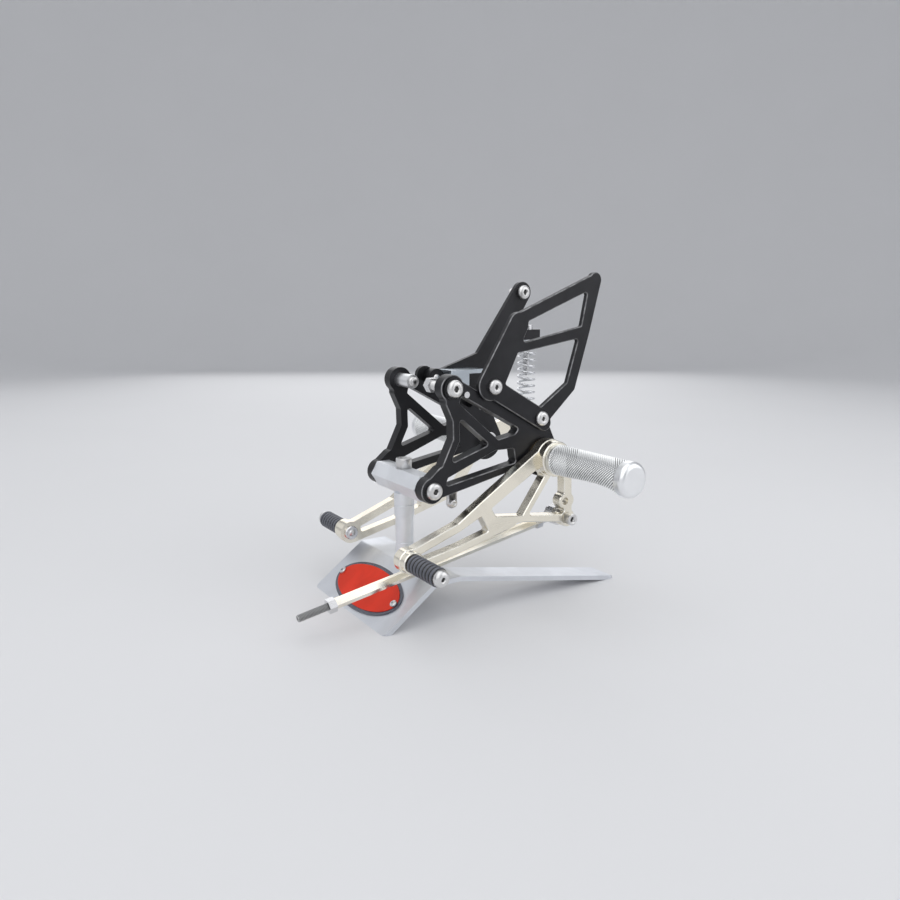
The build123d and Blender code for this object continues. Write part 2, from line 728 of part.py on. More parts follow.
def tie_rod():
    """The hexagon rod."""
    return on_rod(rod_start()) * extrude(hexagon(ROD_FLATS), rod_front() - rod_start())


def rod_nuts():
    """The jam nuts at both ends of the tie rod."""
    nut = extrude(hexagon(ROD_NUT_FLATS) - Circle(snug(ROD_STUD)), ROD_NUT_LENGTH)
    return Compound([on_rod(distance) * nut for distance in (EYE_SHANK_LENGTH, rod_front())])


def rod_stud():
    """The threaded stud at the front of the tie rod."""
    return on_rod(rod_front()) * extrude(Circle(ROD_STUD / 2), rod_length() - rod_front())


def rod_end():
    """The rod end: an eye round the ball and a shank with the thread of the rear jam nut."""
    eye = rod(ROD_EYE, EYE_RADIUS, rod_out - EYE_WIDTH / 2, rod_out + EYE_WIDTH / 2)
    shank = on_rod(0) * extrude(Circle(EYE_SHANK / 2), EYE_SHANK_LENGTH)
    thread = on_rod(EYE_SHANK_LENGTH) * extrude(Circle(ROD_STUD / 2), ROD_NUT_LENGTH)
    ball = Pos(ROD_EYE[0], ROD_EYE[1], rod_out) * Sphere(BALL_RADIUS + BALL_CLEARANCE)
    return eye + shank + thread - ball


def rod_ball():
    """The ball in the rod end."""
    low = rod_out - BALL_WIDTH / 2
    high = rod_out + BALL_WIDTH / 2
    ball = Pos(ROD_EYE[0], ROD_EYE[1], rod_out) * Sphere(BALL_RADIUS)
    ball &= rod(ROD_EYE, BALL_RADIUS, low, high)
    return drilled(ball, ROD_EYE, clear(M6), low, high)


def rod_spacer():
    """The spacer between the ball and the lever."""
    ring = disc(ROD_EYE, M6 / 2 + SPACER_WALL) - disc(ROD_EYE, clear(M6))
    return slab(ring, lever_in - SPACER_LENGTH, lever_in)


def rod_bolt():
    """The bolt through the lever's foot and the ball."""
    low = rod_out - BALL_WIDTH / 2 - ROD_BOLT_NUT_LENGTH - ROD_BOLT_PROUD
    bolt = screw(ROD_BOLT_HEAD, ROD_BOLT_HEAD_HEIGHT, HEAD_ROUND, M6, lever_out - low, ROD_BOLT_KEY)
    return outward(ROD_EYE, lever_out) * bolt


def rod_bolt_nut():
    """The nut behind the ball."""
    high = rod_out - BALL_WIDTH / 2
    face = Pos(*ROD_EYE) * hexagon(ROD_NUT_FLATS) - disc(ROD_EYE, snug(M6))
    return slab(face, high - ROD_BOLT_NUT_LENGTH, high)


def locating_dowel():
    """The small pin beside the frame bolt."""
    return rod(shifted(FRAME_BOLT, DOWEL_STEP), DOWEL / 2, plate_out, plate_out + DOWEL_STAND)


def clip_screw():
    """The small clip and screw under the lower arm of the plate."""
    top = shifted(BAR_BOLT, CLIP_STEP)
    low = shifted(top, (0, -CLIP_DROP))
    tab = slab(bar(top, low, *CLIP_HALVES), plate_in - CLIP_THICKNESS, plate_in)
    length = CLIP_THICKNESS + CLIP_SCREW_PROUD
    one = button_screw(CLIP_SCREW, CLIP_SCREW_HEAD, CLIP_SCREW_HEAD_HEIGHT, CLIP_SCREW_KEY, length)
    return tab + outward(low, plate_in) * one


def sheet_profile():
    """The side of the folded sheet: front flap and shelf, and the tail behind them."""
    tilt = math.radians(FLAP_TILT)
    front = ridge_front - RIDGE_HEIGHT / math.tan(tilt)
    rear = ridge_front + SHELF_DEPTH
    under = RIDGE_HEIGHT - SHEET
    slope = (RIDGE_HEIGHT - TAIL_TIP) / (TAIL_END - rear)
    drop = SHEET * math.hypot(1.0, slope)
    inner_front = front + SHEET / math.sin(tilt)
    flap = [(front, 0), (ridge_front, RIDGE_HEIGHT), (rear, RIDGE_HEIGHT), (rear, under)]
    flap += [(inner_front + under / math.tan(tilt), under), (inner_front, 0)]
    foot = rear + (RIDGE_HEIGHT - drop) / slope
    fold = rear - (drop - SHEET) / slope
    tail = [(fold, RIDGE_HEIGHT), (rear, RIDGE_HEIGHT), (TAIL_END, TAIL_TIP)]
    tail += [(TAIL_END, 0), (foot, 0), (fold, under)]
    return flap, tail


def standing(points, low, high):
    """A side profile made solid across the stand, between two places across its width."""
    return Rot(90, 0, 0) * extrude(Pos(0, 0, -high) * make_face(Polyline(*points, close=True)), high - low)


def base_sheet():
    """The folded sheet of the stand."""
    flap, tail = sheet_profile()
    half = SHEET_WIDTH / 2
    body = standing(flap, -half, half)
    ridge = body.edges().filter_by(Axis.Y).group_by(Axis.Z)[-1].sort_by(Axis.X)[0]
    body = fillet(ridge, RIDGE_ROUND)
    body += standing(tail, -half, TAIL_WIDTH - half)
    screw_hole = Pos(0, 0, RIDGE_HEIGHT) * Cylinder(clear(M8), SHEET * 3)
    return plaque_drilled(body - screw_hole)


def flap_plane():
    """The top face of the front flap, centred on the plaque."""
    tilt = math.radians(FLAP_TILT)
    middle = RIDGE_HEIGHT / 2 - PLAQUE_DROP * math.sin(tilt)
    origin = (ridge_front - (RIDGE_HEIGHT - middle) / math.tan(tilt), 0, middle)
    return Plane(origin, x_dir=(0, 1, 0), z_dir=(-math.sin(tilt), 0, math.cos(tilt)))


def plaque_screw_places(height):
    """Where the plaque's two screws pass, at a height above the flap."""
    across = PLAQUE_LENGTH / 2 - PLAQUE_SCREW_INSET
    return [flap_plane() * Pos(side * across, 0, height) for side in (-1, 1)]


def plaque_drilled(body):
    """A piece of the plaque, or the sheet under it, with the two screw holes."""
    for place in plaque_screw_places(0):
        body -= place * Cylinder(clear(PLAQUE_SCREW), SHEET * 3)
    return body


def plaque():
    """The oval backing plate on the flap."""
    face = Ellipse(PLAQUE_LENGTH / 2, PLAQUE_HEIGHT / 2)
    return plaque_drilled(flap_plane() * extrude(face, PLAQUE_THICKNESS))


def plaque_face():
    """The blank oval enamel on the backing plate."""
    face = Ellipse(PLAQUE_LENGTH / 2 - PLAQUE_RIM, PLAQUE_HEIGHT / 2 - PLAQUE_RIM)
    return plaque_drilled(flap_plane() * extrude(Pos(0, 0, PLAQUE_THICKNESS) * face, FACE_THICKNESS))


def plaque_screws():
    """The two small screws of the plaque."""
    seat = PLAQUE_THICKNESS + FACE_THICKNESS
    one = screw(PLAQUE_SCREW_HEAD, PLAQUE_SCREW_HEAD_HEIGHT, PLAQUE_SCREW_ROUND,
                PLAQUE_SCREW, seat + SHEET, PLAQUE_SCREW_KEY)
    return Compound([place * one for place in plaque_screw_places(seat)])


def post():
    """The round post with its collar and ring grooves."""
    radius = POST_DIAMETER / 2
    collar = radius + COLLAR_STEP
    body = Pos(0, 0, RIDGE_HEIGHT) * extrude(Circle(radius), post_top - RIDGE_HEIGHT)
    body += Pos(0, 0, post_top) * extrude(Circle(collar), -COLLAR_HEIGHT)
    body -= Pos(0, 0, post_top - COLLAR_HEIGHT / 2) * Torus(collar, RING_GROOVE)
    body -= Pos(0, 0, RIDGE_HEIGHT + FOOT_RING) * Torus(radius, RING_GROOVE)
    body -= Pos(0, 0, post_top) * extrude(Circle(snug(M8)), -POST_BOLT_GRIP - CUT)
    return body - Pos(0, 0, RIDGE_HEIGHT) * extrude(Circle(snug(M8)), POST_BOLT_GRIP - SHEET + CUT)


def cross_bar():
    """The hexagon bar, flats level, bored across for the post and at its ends for the plates."""
    body = Location((0, BAR_LENGTH / 2, bar_height), (90, 0, 0)) * extrude(hexagon(BAR_FLATS), BAR_LENGTH)
    for side in (-1, 1):
        end = Location((0, side * BAR_LENGTH / 2, bar_height), (90 * side, 0, 0))
        body -= end * extrude(Circle(snug(M8)), BAR_BOLT_GRIP + CUT)
    return body - Pos(0, 0, bar_height) * Cylinder(clear(M8), BAR_FLATS * 2)


def post_bolt():
    """The socket screw through the bar into the post."""
    length = BAR_FLATS + POST_BOLT_GRIP
    bolt = screw(POST_BOLT_HEAD, POST_BOLT_HEAD_HEIGHT, HEAD_ROUND, M8, length, POST_BOLT_KEY)
    return Pos(0, 0, bar_height + BAR_FLATS / 2) * bolt


def post_foot_screw():
    """The screw up through the shelf into the post."""
    seat = Pos(0, 0, RIDGE_HEIGHT - SHEET) * Rot(180, 0, 0)
    return seat * button_screw(M8, M8_HEAD, M8_HEAD_HEIGHT, M8_KEY, POST_BOLT_GRIP)


def half_pieces(side):
    """The pieces that both halves have, in the flat drawing."""
    return {
        side + "_mount_plate": mount_plate(),
        side + "_frame_bolt": frame_bolt(),
        side + "_frame_washer": flat_washer(),
        side + "_bar_bolt": bar_bolt(),
        side + "_pivot_sleeve": pivot_sleeve(),
        side + "_thrust_washer": thrust_washer(),
        side + "_lever_bush": lever_bush(),
        side + "_footpeg": footpeg(),
        side + "_peg_end_cap": peg_end_cap(),
        side + "_peg_bolt": peg_bolt(),
        side + "_toe_spool": toe_spool(),
        side + "_toe_rubber": toe_rubber(),
        side + "_toe_screw": toe_screw(),
        side + "_toe_nut": toe_nut(),
    }


def shift_pieces():
    """All pieces of the shift side, in the flat drawing."""
    pieces = half_pieces("shift")
    pieces["shift_lever"] = shift_lever()
    pieces["shift_guard"] = shift_guard()
    pieces["shift_guard_bolts"] = guard_bolts(SHIFT_GUARD_THICKNESS)
    pieces["shift_frame_nut"] = frame_nut()
    pieces["shift_dowel"] = locating_dowel()
    pieces["shift_clip_screw"] = clip_screw()
    pieces["tie_rod"] = tie_rod()
    pieces["tie_rod_stud"] = rod_stud()
    pieces["tie_rod_nuts"] = rod_nuts()
    pieces["rod_end"] = rod_end()
    pieces["rod_end_ball"] = rod_ball()
    pieces["rod_end_spacer"] = rod_spacer()
    pieces["rod_end_bolt"] = rod_bolt()
    pieces["rod_end_nut"] = rod_bolt_nut()
    return pieces


def brake_pieces():
    """All pieces of the brake side, in the flat drawing."""
    pieces = half_pieces("brake")
    for name in ("brake_toe_spool", "brake_toe_rubber", "brake_toe_screw", "brake_toe_nut"):
        pieces[name] = about_pivot(BRAKE_DROP) * pieces[name]
    pieces["brake_lever"] = brake_lever()
    pieces["brake_guard"] = brake_guard()
    pieces["brake_guard_bolts"] = guard_bolts(BRAKE_GUARD_THICKNESS)
    pieces["brake_frame_sleeve"] = frame_sleeve()
    pieces["brake_cylinder_bolt"] = cylinder_bolt()
    pieces["brake_return_spring"] = return_spring()
    pieces["brake_spring_cup"] = spring_cup()
    pieces["brake_spring_seat"] = spring_top_seat()
    pieces["brake_guide_pin"] = guide_pin()
    pieces["brake_hose_bracket"] = hose_bracket()
    return pieces


def stand_pieces():
    """The pieces of the stand, where they are."""
    return {
        "base_sheet": base_sheet(),
        "plaque": plaque(),
        "plaque_face": plaque_face(),
        "plaque_screws": plaque_screws(),
        "post": post(),
        "cross_bar": cross_bar(),
        "post_bolt": post_bolt(),
        "post_foot_screw": post_foot_screw(),
    }


def whole_set():
    """Every piece, with the origin on the floor at the middle of the set's box."""
    stand_up = Pos(0, 0, bar_height) * Rot(90, 0, 0)
    pieces = stand_pieces()
    for name, piece in shift_pieces().items():
        pieces[name] = stand_up * piece
    for name, piece in brake_pieces().items():
        pieces[name] = mirror(stand_up * piece, about=Plane.XZ)
    box = Compound(list(pieces.values())).bounding_box()
    to_origin = Pos(-box.center().X, -box.center().Y, -box.min.Z)
    return {name: to_origin * piece for name, piece in pieces.items()}


os.makedirs("parts", exist_ok=True)
for node, shape in whole_set().items():
    export_step(shape, f"parts/{node}.step")
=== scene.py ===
import json
import logging
import math
from dataclasses import dataclass, field
from enum import Enum
from typing import Callable, Dict, List, Optional, Sequence, Tuple

import bmesh
import bpy
from bmesh.types import BMEdge, BMesh, BMVert
from bpy.types import ID, Material, Mesh, NodeSocket, NodeTree, Object
from mathutils import Matrix, Vector


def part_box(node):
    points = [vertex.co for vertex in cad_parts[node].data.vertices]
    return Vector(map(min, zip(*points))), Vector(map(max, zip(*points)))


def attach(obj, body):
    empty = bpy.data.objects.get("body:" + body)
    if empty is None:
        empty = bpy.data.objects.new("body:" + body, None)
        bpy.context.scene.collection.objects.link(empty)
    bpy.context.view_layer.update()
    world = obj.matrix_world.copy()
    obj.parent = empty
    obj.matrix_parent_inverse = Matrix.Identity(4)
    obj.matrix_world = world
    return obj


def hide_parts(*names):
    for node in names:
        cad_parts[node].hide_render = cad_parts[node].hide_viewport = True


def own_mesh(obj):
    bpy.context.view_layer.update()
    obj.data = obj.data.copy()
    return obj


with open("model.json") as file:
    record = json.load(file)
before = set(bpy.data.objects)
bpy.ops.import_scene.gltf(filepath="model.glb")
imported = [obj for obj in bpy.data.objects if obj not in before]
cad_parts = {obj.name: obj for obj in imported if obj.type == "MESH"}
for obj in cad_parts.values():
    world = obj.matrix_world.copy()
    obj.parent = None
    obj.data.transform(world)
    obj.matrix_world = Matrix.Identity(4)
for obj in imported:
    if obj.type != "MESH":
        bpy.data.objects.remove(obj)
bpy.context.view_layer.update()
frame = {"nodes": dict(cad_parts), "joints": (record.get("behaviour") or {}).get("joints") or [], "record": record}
LOG = logging.getLogger("rear_set")

# The depth that knurls, threads, ribs and sockets keep on their points, which the finishes paint as shade in the
# grooves, and how meshes are joined
GROOVE_SHADE_ATTRIBUTE = "groove"
MERGE_DISTANCE = 0.000004
SMOOTH_ANGLE = math.radians(35.0)

# Key sockets: share of a screw's radius that holds them, least depth, and how level their floor is
SOCKET_REACH = 0.6
SOCKET_DEPTH = 0.0006
SOCKET_LEVEL = 0.95

VECTOR = "NodeSocketVector"
NUMBER = "NodeSocketFloat"
COUNT = "NodeSocketInt"
UP = Vector((0.0, 0.0, 1.0))
Colour = Tuple[float, float, float]
Triple = Tuple[float, float, float]
Span = Tuple[float, float]


class Body(Enum):
    """The bodies that pieces ride on."""

    STAND = "stand_and_plates"
    SHIFT_LEVER = "shift_lever_body"
    TIE_ROD = "tie_rod_body"
    BRAKE_LEVER = "brake_lever_body"


class Side(Enum):
    """The two halves of the set, with the sign of their outward direction along Y."""

    SHIFT = -1
    BRAKE = 1

    @property
    def label(self) -> str:
        """The first word of the half's piece names."""
        return self.name.lower()

    @property
    def out(self) -> Vector:
        """The half's outward direction."""
        return Vector((0.0, self.value, 0.0))

    @property
    def lever(self) -> Body:
        """The body of the half's lever."""
        return Body.SHIFT_LEVER if self is Side.SHIFT else Body.BRAKE_LEVER

    def inner(self, node: str) -> float:
        """Where a node's inner end lies along Y."""
        low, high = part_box(node)
        return low.y if self is Side.BRAKE else high.y

    def outer(self, node: str) -> float:
        """Where a node's outer end lies along Y."""
        low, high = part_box(node)
        return high.y if self is Side.BRAKE else low.y


class Lay(Enum):
    """Direction of the fine tool marks on a surface, as the stretch of the streak noise."""

    ALONG_X = (0.03, 1.0, 1.0)
    ALONG_Y = (1.0, 0.03, 1.0)
    NONE = (1.0, 1.0, 1.0)


def operator(operation: str, swapped: bool = False) -> Callable[["Field", object], "Field"]:
    """An operator between a field and a field or number.

    Args:
        operation: The Math node's operation.
        swapped: Whether the field comes second.

    Returns:
        The operator, as a method of Field.
    """
    def apply(self: "Field", other: object) -> "Field":
        """Add the Math node."""
        return self.wires.math(operation, *((other, self) if swapped else (self, other)))
    return apply


class Field:
    """An output of a node, to be reckoned with as a number is where it holds one."""

    def __init__(self, wires: "Wiring", socket: NodeSocket) -> None:
        """Take a node's output."""
        self.wires = wires
        self.socket = socket

    __add__ = operator("ADD")
    __sub__ = operator("SUBTRACT")
    __rsub__ = operator("SUBTRACT", swapped=True)
    __mul__ = operator("MULTIPLY")
    __truediv__ = operator("DIVIDE")
    __gt__ = operator("GREATER_THAN")
    __lt__ = operator("LESS_THAN")
    least = operator("MINIMUM")
    most = operator("MAXIMUM")

    def within(self, low: object, high: object) -> "Field":
        """The value, held between two limits."""
        return self.most(low).least(high)

    def wave(self) -> "Field":
        """A triangle wave of period 1, up from 0 to 1 and back."""
        return self.wires.math("PINGPONG", self, 0.5) * 2.0


class Wiring:
    """Adds and joins the nodes of one node tree."""

    def __init__(self, tree: NodeTree) -> None:
        """Take the shader or geometry tree to be filled."""
        self.tree = tree

    def given(self, label: str) -> Field:
        """One of the tree's own inputs."""
        return Field(self, self.tree.nodes["In"].outputs[label])

    def feed(self, socket: NodeSocket, value: object) -> None:
        """Give a socket a link or a plain value.

        Args:
            socket: The input socket.
            value: A field, or a number, tuple or name.
        """
        if isinstance(value, Field):
            self.tree.links.new(value.socket, socket)
        else:
            socket.default_value = value

    def add(self, kind: str, inputs: Optional[Dict[object, object]] = None, output: object = 0,
            **settings: object) -> Field:
        """Add one node, set its options and feed its inputs.

        Args:
            kind: The node's type name.
            inputs: Values by the name or number of the input.
            output: Name or number of the output that is wanted.
            settings: Options of the node by attribute name.

        Returns:
            The output.
        """
        node = self.tree.nodes.new(kind)
        for name, value in settings.items():
            setattr(node, name, value)
        for key, value in (inputs or {}).items():
            self.feed(node.inputs[key], value)
        return Field(self, node.outputs[output])

    def math(self, operation: str, first: object, second: object = 0.0) -> Field:
        """The result of a Math node."""
        return self.add("ShaderNodeMath", {0: first, 1: second}, operation=operation)

    def remap(self, value: Field, span: Span, onto: Span = (0.0, 1.0), smooth: bool = True) -> Field:
        """Add a clamped Map Range node.

        Args:
            value: The value to map.
            span: Start and end of its range.
            onto: What they become.
            smooth: Whether the change is eased.

        Returns:
            The mapped value.
        """
        inputs = dict(enumerate((value, *span, *onto)))
        kind = "SMOOTHSTEP" if smooth else "LINEAR"
        return self.add("ShaderNodeMapRange", inputs, interpolation_type=kind)

    def mix(self, share: Field, first: object, second: object) -> Field:
        """Mix two colours.

        Args:
            share: Share of the second colour.
            first: First colour, plain or a field.
            second: Second colour.

        Returns:
            The mixed colour.
        """
        ends = [(*value, 1.0) if isinstance(value, tuple) else value for value in (first, second)]
        inputs = {"Factor": share, "A": ends[0], "B": ends[1]}
        return self.add("ShaderNodeMix", inputs, "Result", data_type="RGBA")

    def effect(self, tree: NodeTree, **inputs: object) -> Field:
        """Place a shader group and take what it puts out."""
        return self.add("ShaderNodeGroup", inputs, node_tree=tree)

    def shade(self, looks: Dict[str, object]) -> None:
        """Feed the inputs of the tree's surface shader by name."""
        for label, value in looks.items():
            self.feed(self.tree.nodes["Principled BSDF"].inputs[label], value)

    def end(self, value: Field) -> NodeTree:
        """Put a field out of the tree, which is then done."""
        self.feed(self.tree.nodes.new("NodeGroupOutput").inputs[0], value)
        return self.tree


def new_group(kind: str, name: str, output: Tuple[str, str], inputs: Dict[str, str]) -> NodeTree:
    """Start a node group with one output.

    Args:
        kind: The tree's type.
        name: Its name.
        output: Name and socket type of its output.
        inputs: Socket types of its inputs by name.

    Returns:
        The tree with its input node.
    """
    tree = bpy.data.node_groups.new(name, kind)
    tree.interface.new_socket(output[0], in_out="OUTPUT", socket_type=output[1])
    for label, socket_type in inputs.items():
        tree.interface.new_socket(label, in_out="INPUT", socket_type=socket_type)
    tree.nodes.new("NodeGroupInput").name = "In"
    return tree


class SurfaceEffects:
    """Shader groups that several finishes share."""

    STREAK_SPAN = (0.25, 0.75)
    SMUDGE_SPAN = (0.35, 0.70)
    EDGE_START = (0.42, 0.58)
    EDGE_END = (0.82, 0.94)
    # Patches of the lighter chamfers, which are part wear and part painted highlight
    WEAR_AND_HIGHLIGHT_SPAN = (0.38, 0.62)
    LEAST_WEAR_AND_HIGHLIGHT = 0.35

    def __init__(self) -> None:
        """Build each group once."""
        self.streaks = self._streaks()
        self.smudges = self._smudges()
        self.broken_edge = self._broken_edge()
        self.wear_and_highlight = self._wear_and_highlight()

    @staticmethod
    def _start(name: str, output: str, **inputs: str) -> Wiring:
        """The wiring of a new group, with the socket types of its inputs by name."""
        return Wiring(new_group("ShaderNodeTree", name, (output, NUMBER), inputs))

    @staticmethod
    def _noise(wires: Wiring, place: Field, **settings: float) -> Field:
        """Noise of the scale that the group is given."""
        return wires.add("ShaderNodeTexNoise", {"Vector": place, "Scale": wires.given("Scale"), **settings})

    def _streaks(self) -> NodeTree:
        """Fine tool marks: noise drawn out along one direction."""
        wires = self._start("tool_marks", "Streak", Vector=VECTOR, Stretch=VECTOR, Scale=NUMBER)
        factors = {0: wires.given("Vector"), 1: wires.given("Stretch")}
        drawn = wires.add("ShaderNodeVectorMath", factors, operation="MULTIPLY")
        noise = self._noise(wires, drawn, Detail=3.0, Roughness=0.6)
        return wires.end(wires.remap(noise, self.STREAK_SPAN, smooth=False))

    def _smudges(self) -> NodeTree:
        """Broad uneven patches, as handling and cleaning leave."""
        wires = self._start("handling", "Smudge", Vector=VECTOR, Scale=NUMBER)
        noise = self._noise(wires, wires.given("Vector"), Detail=4.0, Distortion=0.6)
        return wires.end(wires.remap(noise, self.SMUDGE_SPAN))

    def _broken_edge(self) -> NodeTree:
        """Mask of the milled chamfers: faces that lean halfway between outward and sideways."""
        wires = self._start("broken_edge", "Edge")
        normal = wires.add("ShaderNodeNewGeometry", output="True Normal")
        lean = wires.math("ABSOLUTE", wires.add("ShaderNodeSeparateXYZ", {0: normal}, "Y"))
        rising = wires.remap(lean, self.EDGE_START)
        return wires.end(rising * wires.remap(lean, self.EDGE_END, (1.0, 0.0)))

    def _wear_and_highlight(self) -> NodeTree:
        """Patchy lighter edges from a mask: wear where boots and tools rub, and a painted highlight along the
        chamfers.
        """
        wires = self._start("wear_and_highlight", "WearAndHighlight", Vector=VECTOR, Mask=NUMBER, Scale=NUMBER)
        noise = self._noise(wires, wires.given("Vector"), Detail=5.0)
        patches = wires.remap(noise, self.WEAR_AND_HIGHLIGHT_SPAN, (self.LEAST_WEAR_AND_HIGHLIGHT, 1.0))
        return wires.end(patches * wires.given("Mask"))


@dataclass(frozen=True)
class Finish:
    """A finish of the set: colours, gloss and the scale of its fine marks.

    Attributes:
        name: Material name.
        colour: Colour of the surface.
        metallic: Share of metal.
        gloss: Lowest and highest roughness.
        edge_colour: Colour of milled chamfers: bare metal where worn, and a painted highlight.
        edge_amount: How strongly chamfers take that colour.
        lay: Direction of the tool marks.
        marks_per_m: How fine the tool marks are.
        marks_height: Depth of the marks in the bump, in metres.
        tint: How much the colour varies in broad patches.
        coat: Weight of a clear coat.
        shine: How strongly a surface that is no metal mirrors.
        groove_shade_amount: How strongly painted shade darkens the grooves of a knurl, thread, rib or socket.
        groove_shade_span: Depths at which the painted shade in a groove starts and is darkest.
        record_slot: The record's slot, where it isn't the finish's own name.
    """

    PATCHES_PER_M = 38.0
    # Scale of the patches of chamfer wear and painted highlight
    WEAR_AND_HIGHLIGHT_PER_M = 140.0
    PATCH_SHARE = 0.45
    STREAK_SHARE = 0.55
    BUMP_STRENGTH = 0.6
    # Share of the colour left at the bottom of a groove by the painted shade
    PAINTED_GROOVE_SHADE = 0.06

    name: str
    colour: Colour
    metallic: float
    gloss: Span
    edge_colour: Colour = (0.5, 0.5, 0.5)
    edge_amount: float = 0.0
    lay: Lay = Lay.NONE
    marks_per_m: float = 1500.0
    marks_height: float = 0.00002
    tint: float = 0.08
    coat: float = 0.0
    shine: float = 0.5
    groove_shade_amount: float = 0.0
    groove_shade_span: Span = (0.40, 0.90)
    record_slot: str = ""

    def build(self, effects: SurfaceEffects) -> Material:
        """Make the material.

        Args:
            effects: The shared shader groups.

        Returns:
            The finished material.
        """
        material = bpy.data.materials.new(self.name)
        material.use_nodes = True
        wires = Wiring(material.node_tree)
        place = wires.add("ShaderNodeTexCoord", output="Object")
        streak = wires.effect(effects.streaks, Vector=place, Stretch=self.lay.value, Scale=self.marks_per_m)
        smudge = wires.effect(effects.smudges, Vector=place, Scale=self.PATCHES_PER_M)
        blend = smudge * self.PATCH_SHARE + streak * self.STREAK_SHARE
        marks = {"Height": streak, "Strength": self.BUMP_STRENGTH, "Distance": self.marks_height}
        wires.shade({
            "Base Color": self._colour(wires, effects, place, smudge),
            "Metallic": self.metallic,
            "Roughness": wires.remap(blend, (0.0, 1.0), self.gloss, smooth=False),
            "Normal": wires.add("ShaderNodeBump", marks),
            "Coat Weight": self.coat,
            "Specular IOR Level": self.shine,
        })
        return material

    def _colour(self, wires: Wiring, effects: SurfaceEffects, place: Field, smudge: Field) -> Field:
        """Mix the surface colour with its patches, and with painted shade in its grooves or with its lighter
        chamfers, which are part wear and part painted highlight.

        Args:
            wires: The material's wiring.
            effects: The shared shader groups.
            place: Object coordinates.
            smudge: The patch mask.

        Returns:
            The colour.
        """
        darker = tuple(c * (1.0 - self.tint) for c in self.colour)
        patched = wires.mix(smudge, self.colour, darker)
        # Painted shade: grooves, thread roots and key sockets darken towards their floor
        if self.groove_shade_amount > 0.0:
            groove = wires.add("ShaderNodeAttribute", output="Fac", attribute_name=GROOVE_SHADE_ATTRIBUTE)
            shade = wires.remap(groove, self.groove_shade_span, (0.0, self.groove_shade_amount))
            return wires.mix(shade, patched, tuple(c * self.PAINTED_GROOVE_SHADE for c in self.colour))
        # Lighter chamfers: bare metal where worn, and a painted highlight along the edges
        if self.edge_amount == 0.0:
            return patched
        edge = wires.effect(effects.broken_edge)
        edge_wear_and_highlight = wires.effect(effects.wear_and_highlight, Vector=place, Mask=edge, Scale=self.WEAR_AND_HIGHLIGHT_PER_M)
        return wires.mix(edge_wear_and_highlight * self.edge_amount, patched, self.edge_colour)


class Finishes(Enum):
    """Every finish of the set, under the name of its slot in the record."""

    # The anodised finishes' chamfer colour is part wear and part painted highlight
    BLACK_ANODISED = Finish(
        "black_anodised", (0.022, 0.022, 0.025), 0.55, (0.30, 0.46), (0.34, 0.34, 0.35), 0.75,
        marks_per_m=5200.0, marks_height=0.000012, tint=0.25)
    CHAMPAGNE_ANODISED = Finish(
        "champagne_anodised", (0.92, 0.87, 0.75), 1.0, (0.17, 0.30), (0.97, 0.95, 0.88), 0.85,
        Lay.ALONG_X, 2600.0, 0.000005, 0.10)
    BRIGHT_ALUMINIUM = Finish(
        "bright_aluminium", (0.92, 0.93, 0.94), 1.0, (0.28, 0.40), marks_per_m=2400.0,
        marks_height=0.000006)
    # Painted shade in the knurl's grooves
    KNURLED_ALUMINIUM = Finish(
        "knurled_aluminium", (0.94, 0.95, 0.95), 1.0, (0.30, 0.42), marks_per_m=2400.0,
        marks_height=0.000006, groove_shade_amount=0.68, record_slot="bright_aluminium")
    SATIN_ALUMINIUM = Finish(
        "satin_aluminium", (0.91, 0.93, 0.96), 1.0, (0.44, 0.58), lay=Lay.ALONG_Y,
        marks_per_m=2600.0, marks_height=0.000006)
    SHEET_ALUMINIUM = Finish(
        "sheet_aluminium", (0.76, 0.78, 0.82), 1.0, (0.40, 0.54), lay=Lay.ALONG_Y,
        marks_per_m=1900.0, marks_height=0.000006)
    STAINLESS = Finish(
        "stainless", (0.74, 0.74, 0.75), 1.0, (0.18, 0.32), marks_per_m=3200.0, marks_height=0.00001)
    # Painted shade on the floor of the key sockets
    SOCKET_STEEL = Finish(
        "socket_steel", (0.74, 0.735, 0.73), 1.0, (0.24, 0.38), marks_per_m=3200.0,
        marks_height=0.000006, groove_shade_amount=0.94, record_slot="stainless")
    # Painted shade in the thread's roots
    DULL_THREAD = Finish(
        "dull_thread", (0.50, 0.50, 0.50), 1.0, (0.30, 0.44), marks_per_m=3200.0,
        marks_height=0.000006, groove_shade_amount=0.9, record_slot="stainless")
    ZINC = Finish("zinc", (0.64, 0.70, 0.76), 1.0, (0.22, 0.38), marks_per_m=2600.0)
    BRONZE = Finish("bronze", (0.66, 0.50, 0.28), 1.0, (0.28, 0.42), marks_per_m=3000.0)
    # Painted shade in the grooves between the ribs
    BLACK_RUBBER = Finish(
        "black_rubber", (0.125, 0.131, 0.158), 0.0, (0.16, 0.28), marks_per_m=4200.0,
        marks_height=0.000004, tint=0.2, groove_shade_amount=0.97, groove_shade_span=(0.15, 0.55))
    SPRING_STEEL = Finish("spring_steel", (0.72, 0.73, 0.75), 1.0, (0.18, 0.34), marks_per_m=3200.0)
    DARK_RIM = Finish("dark_rim", (0.075, 0.08, 0.11), 0.2, (0.22, 0.34), marks_per_m=900.0, coat=0.5)
    RED_ENAMEL = Finish(
        "red_enamel", (0.78, 0.036, 0.010), 0.0, (0.36, 0.48), marks_per_m=700.0,
        marks_height=0.00001, tint=0.16, shine=0.22)

    @property
    def slot(self) -> str:
        """The record's slot of this finish."""
        return self.value.record_slot or self.value.name


def hang(name: str, data: ID) -> Object:
    """Put a mesh, lamp or camera into the scene."""
    holder = bpy.data.objects.new(name, data)
    bpy.context.scene.collection.objects.link(holder)
    return holder


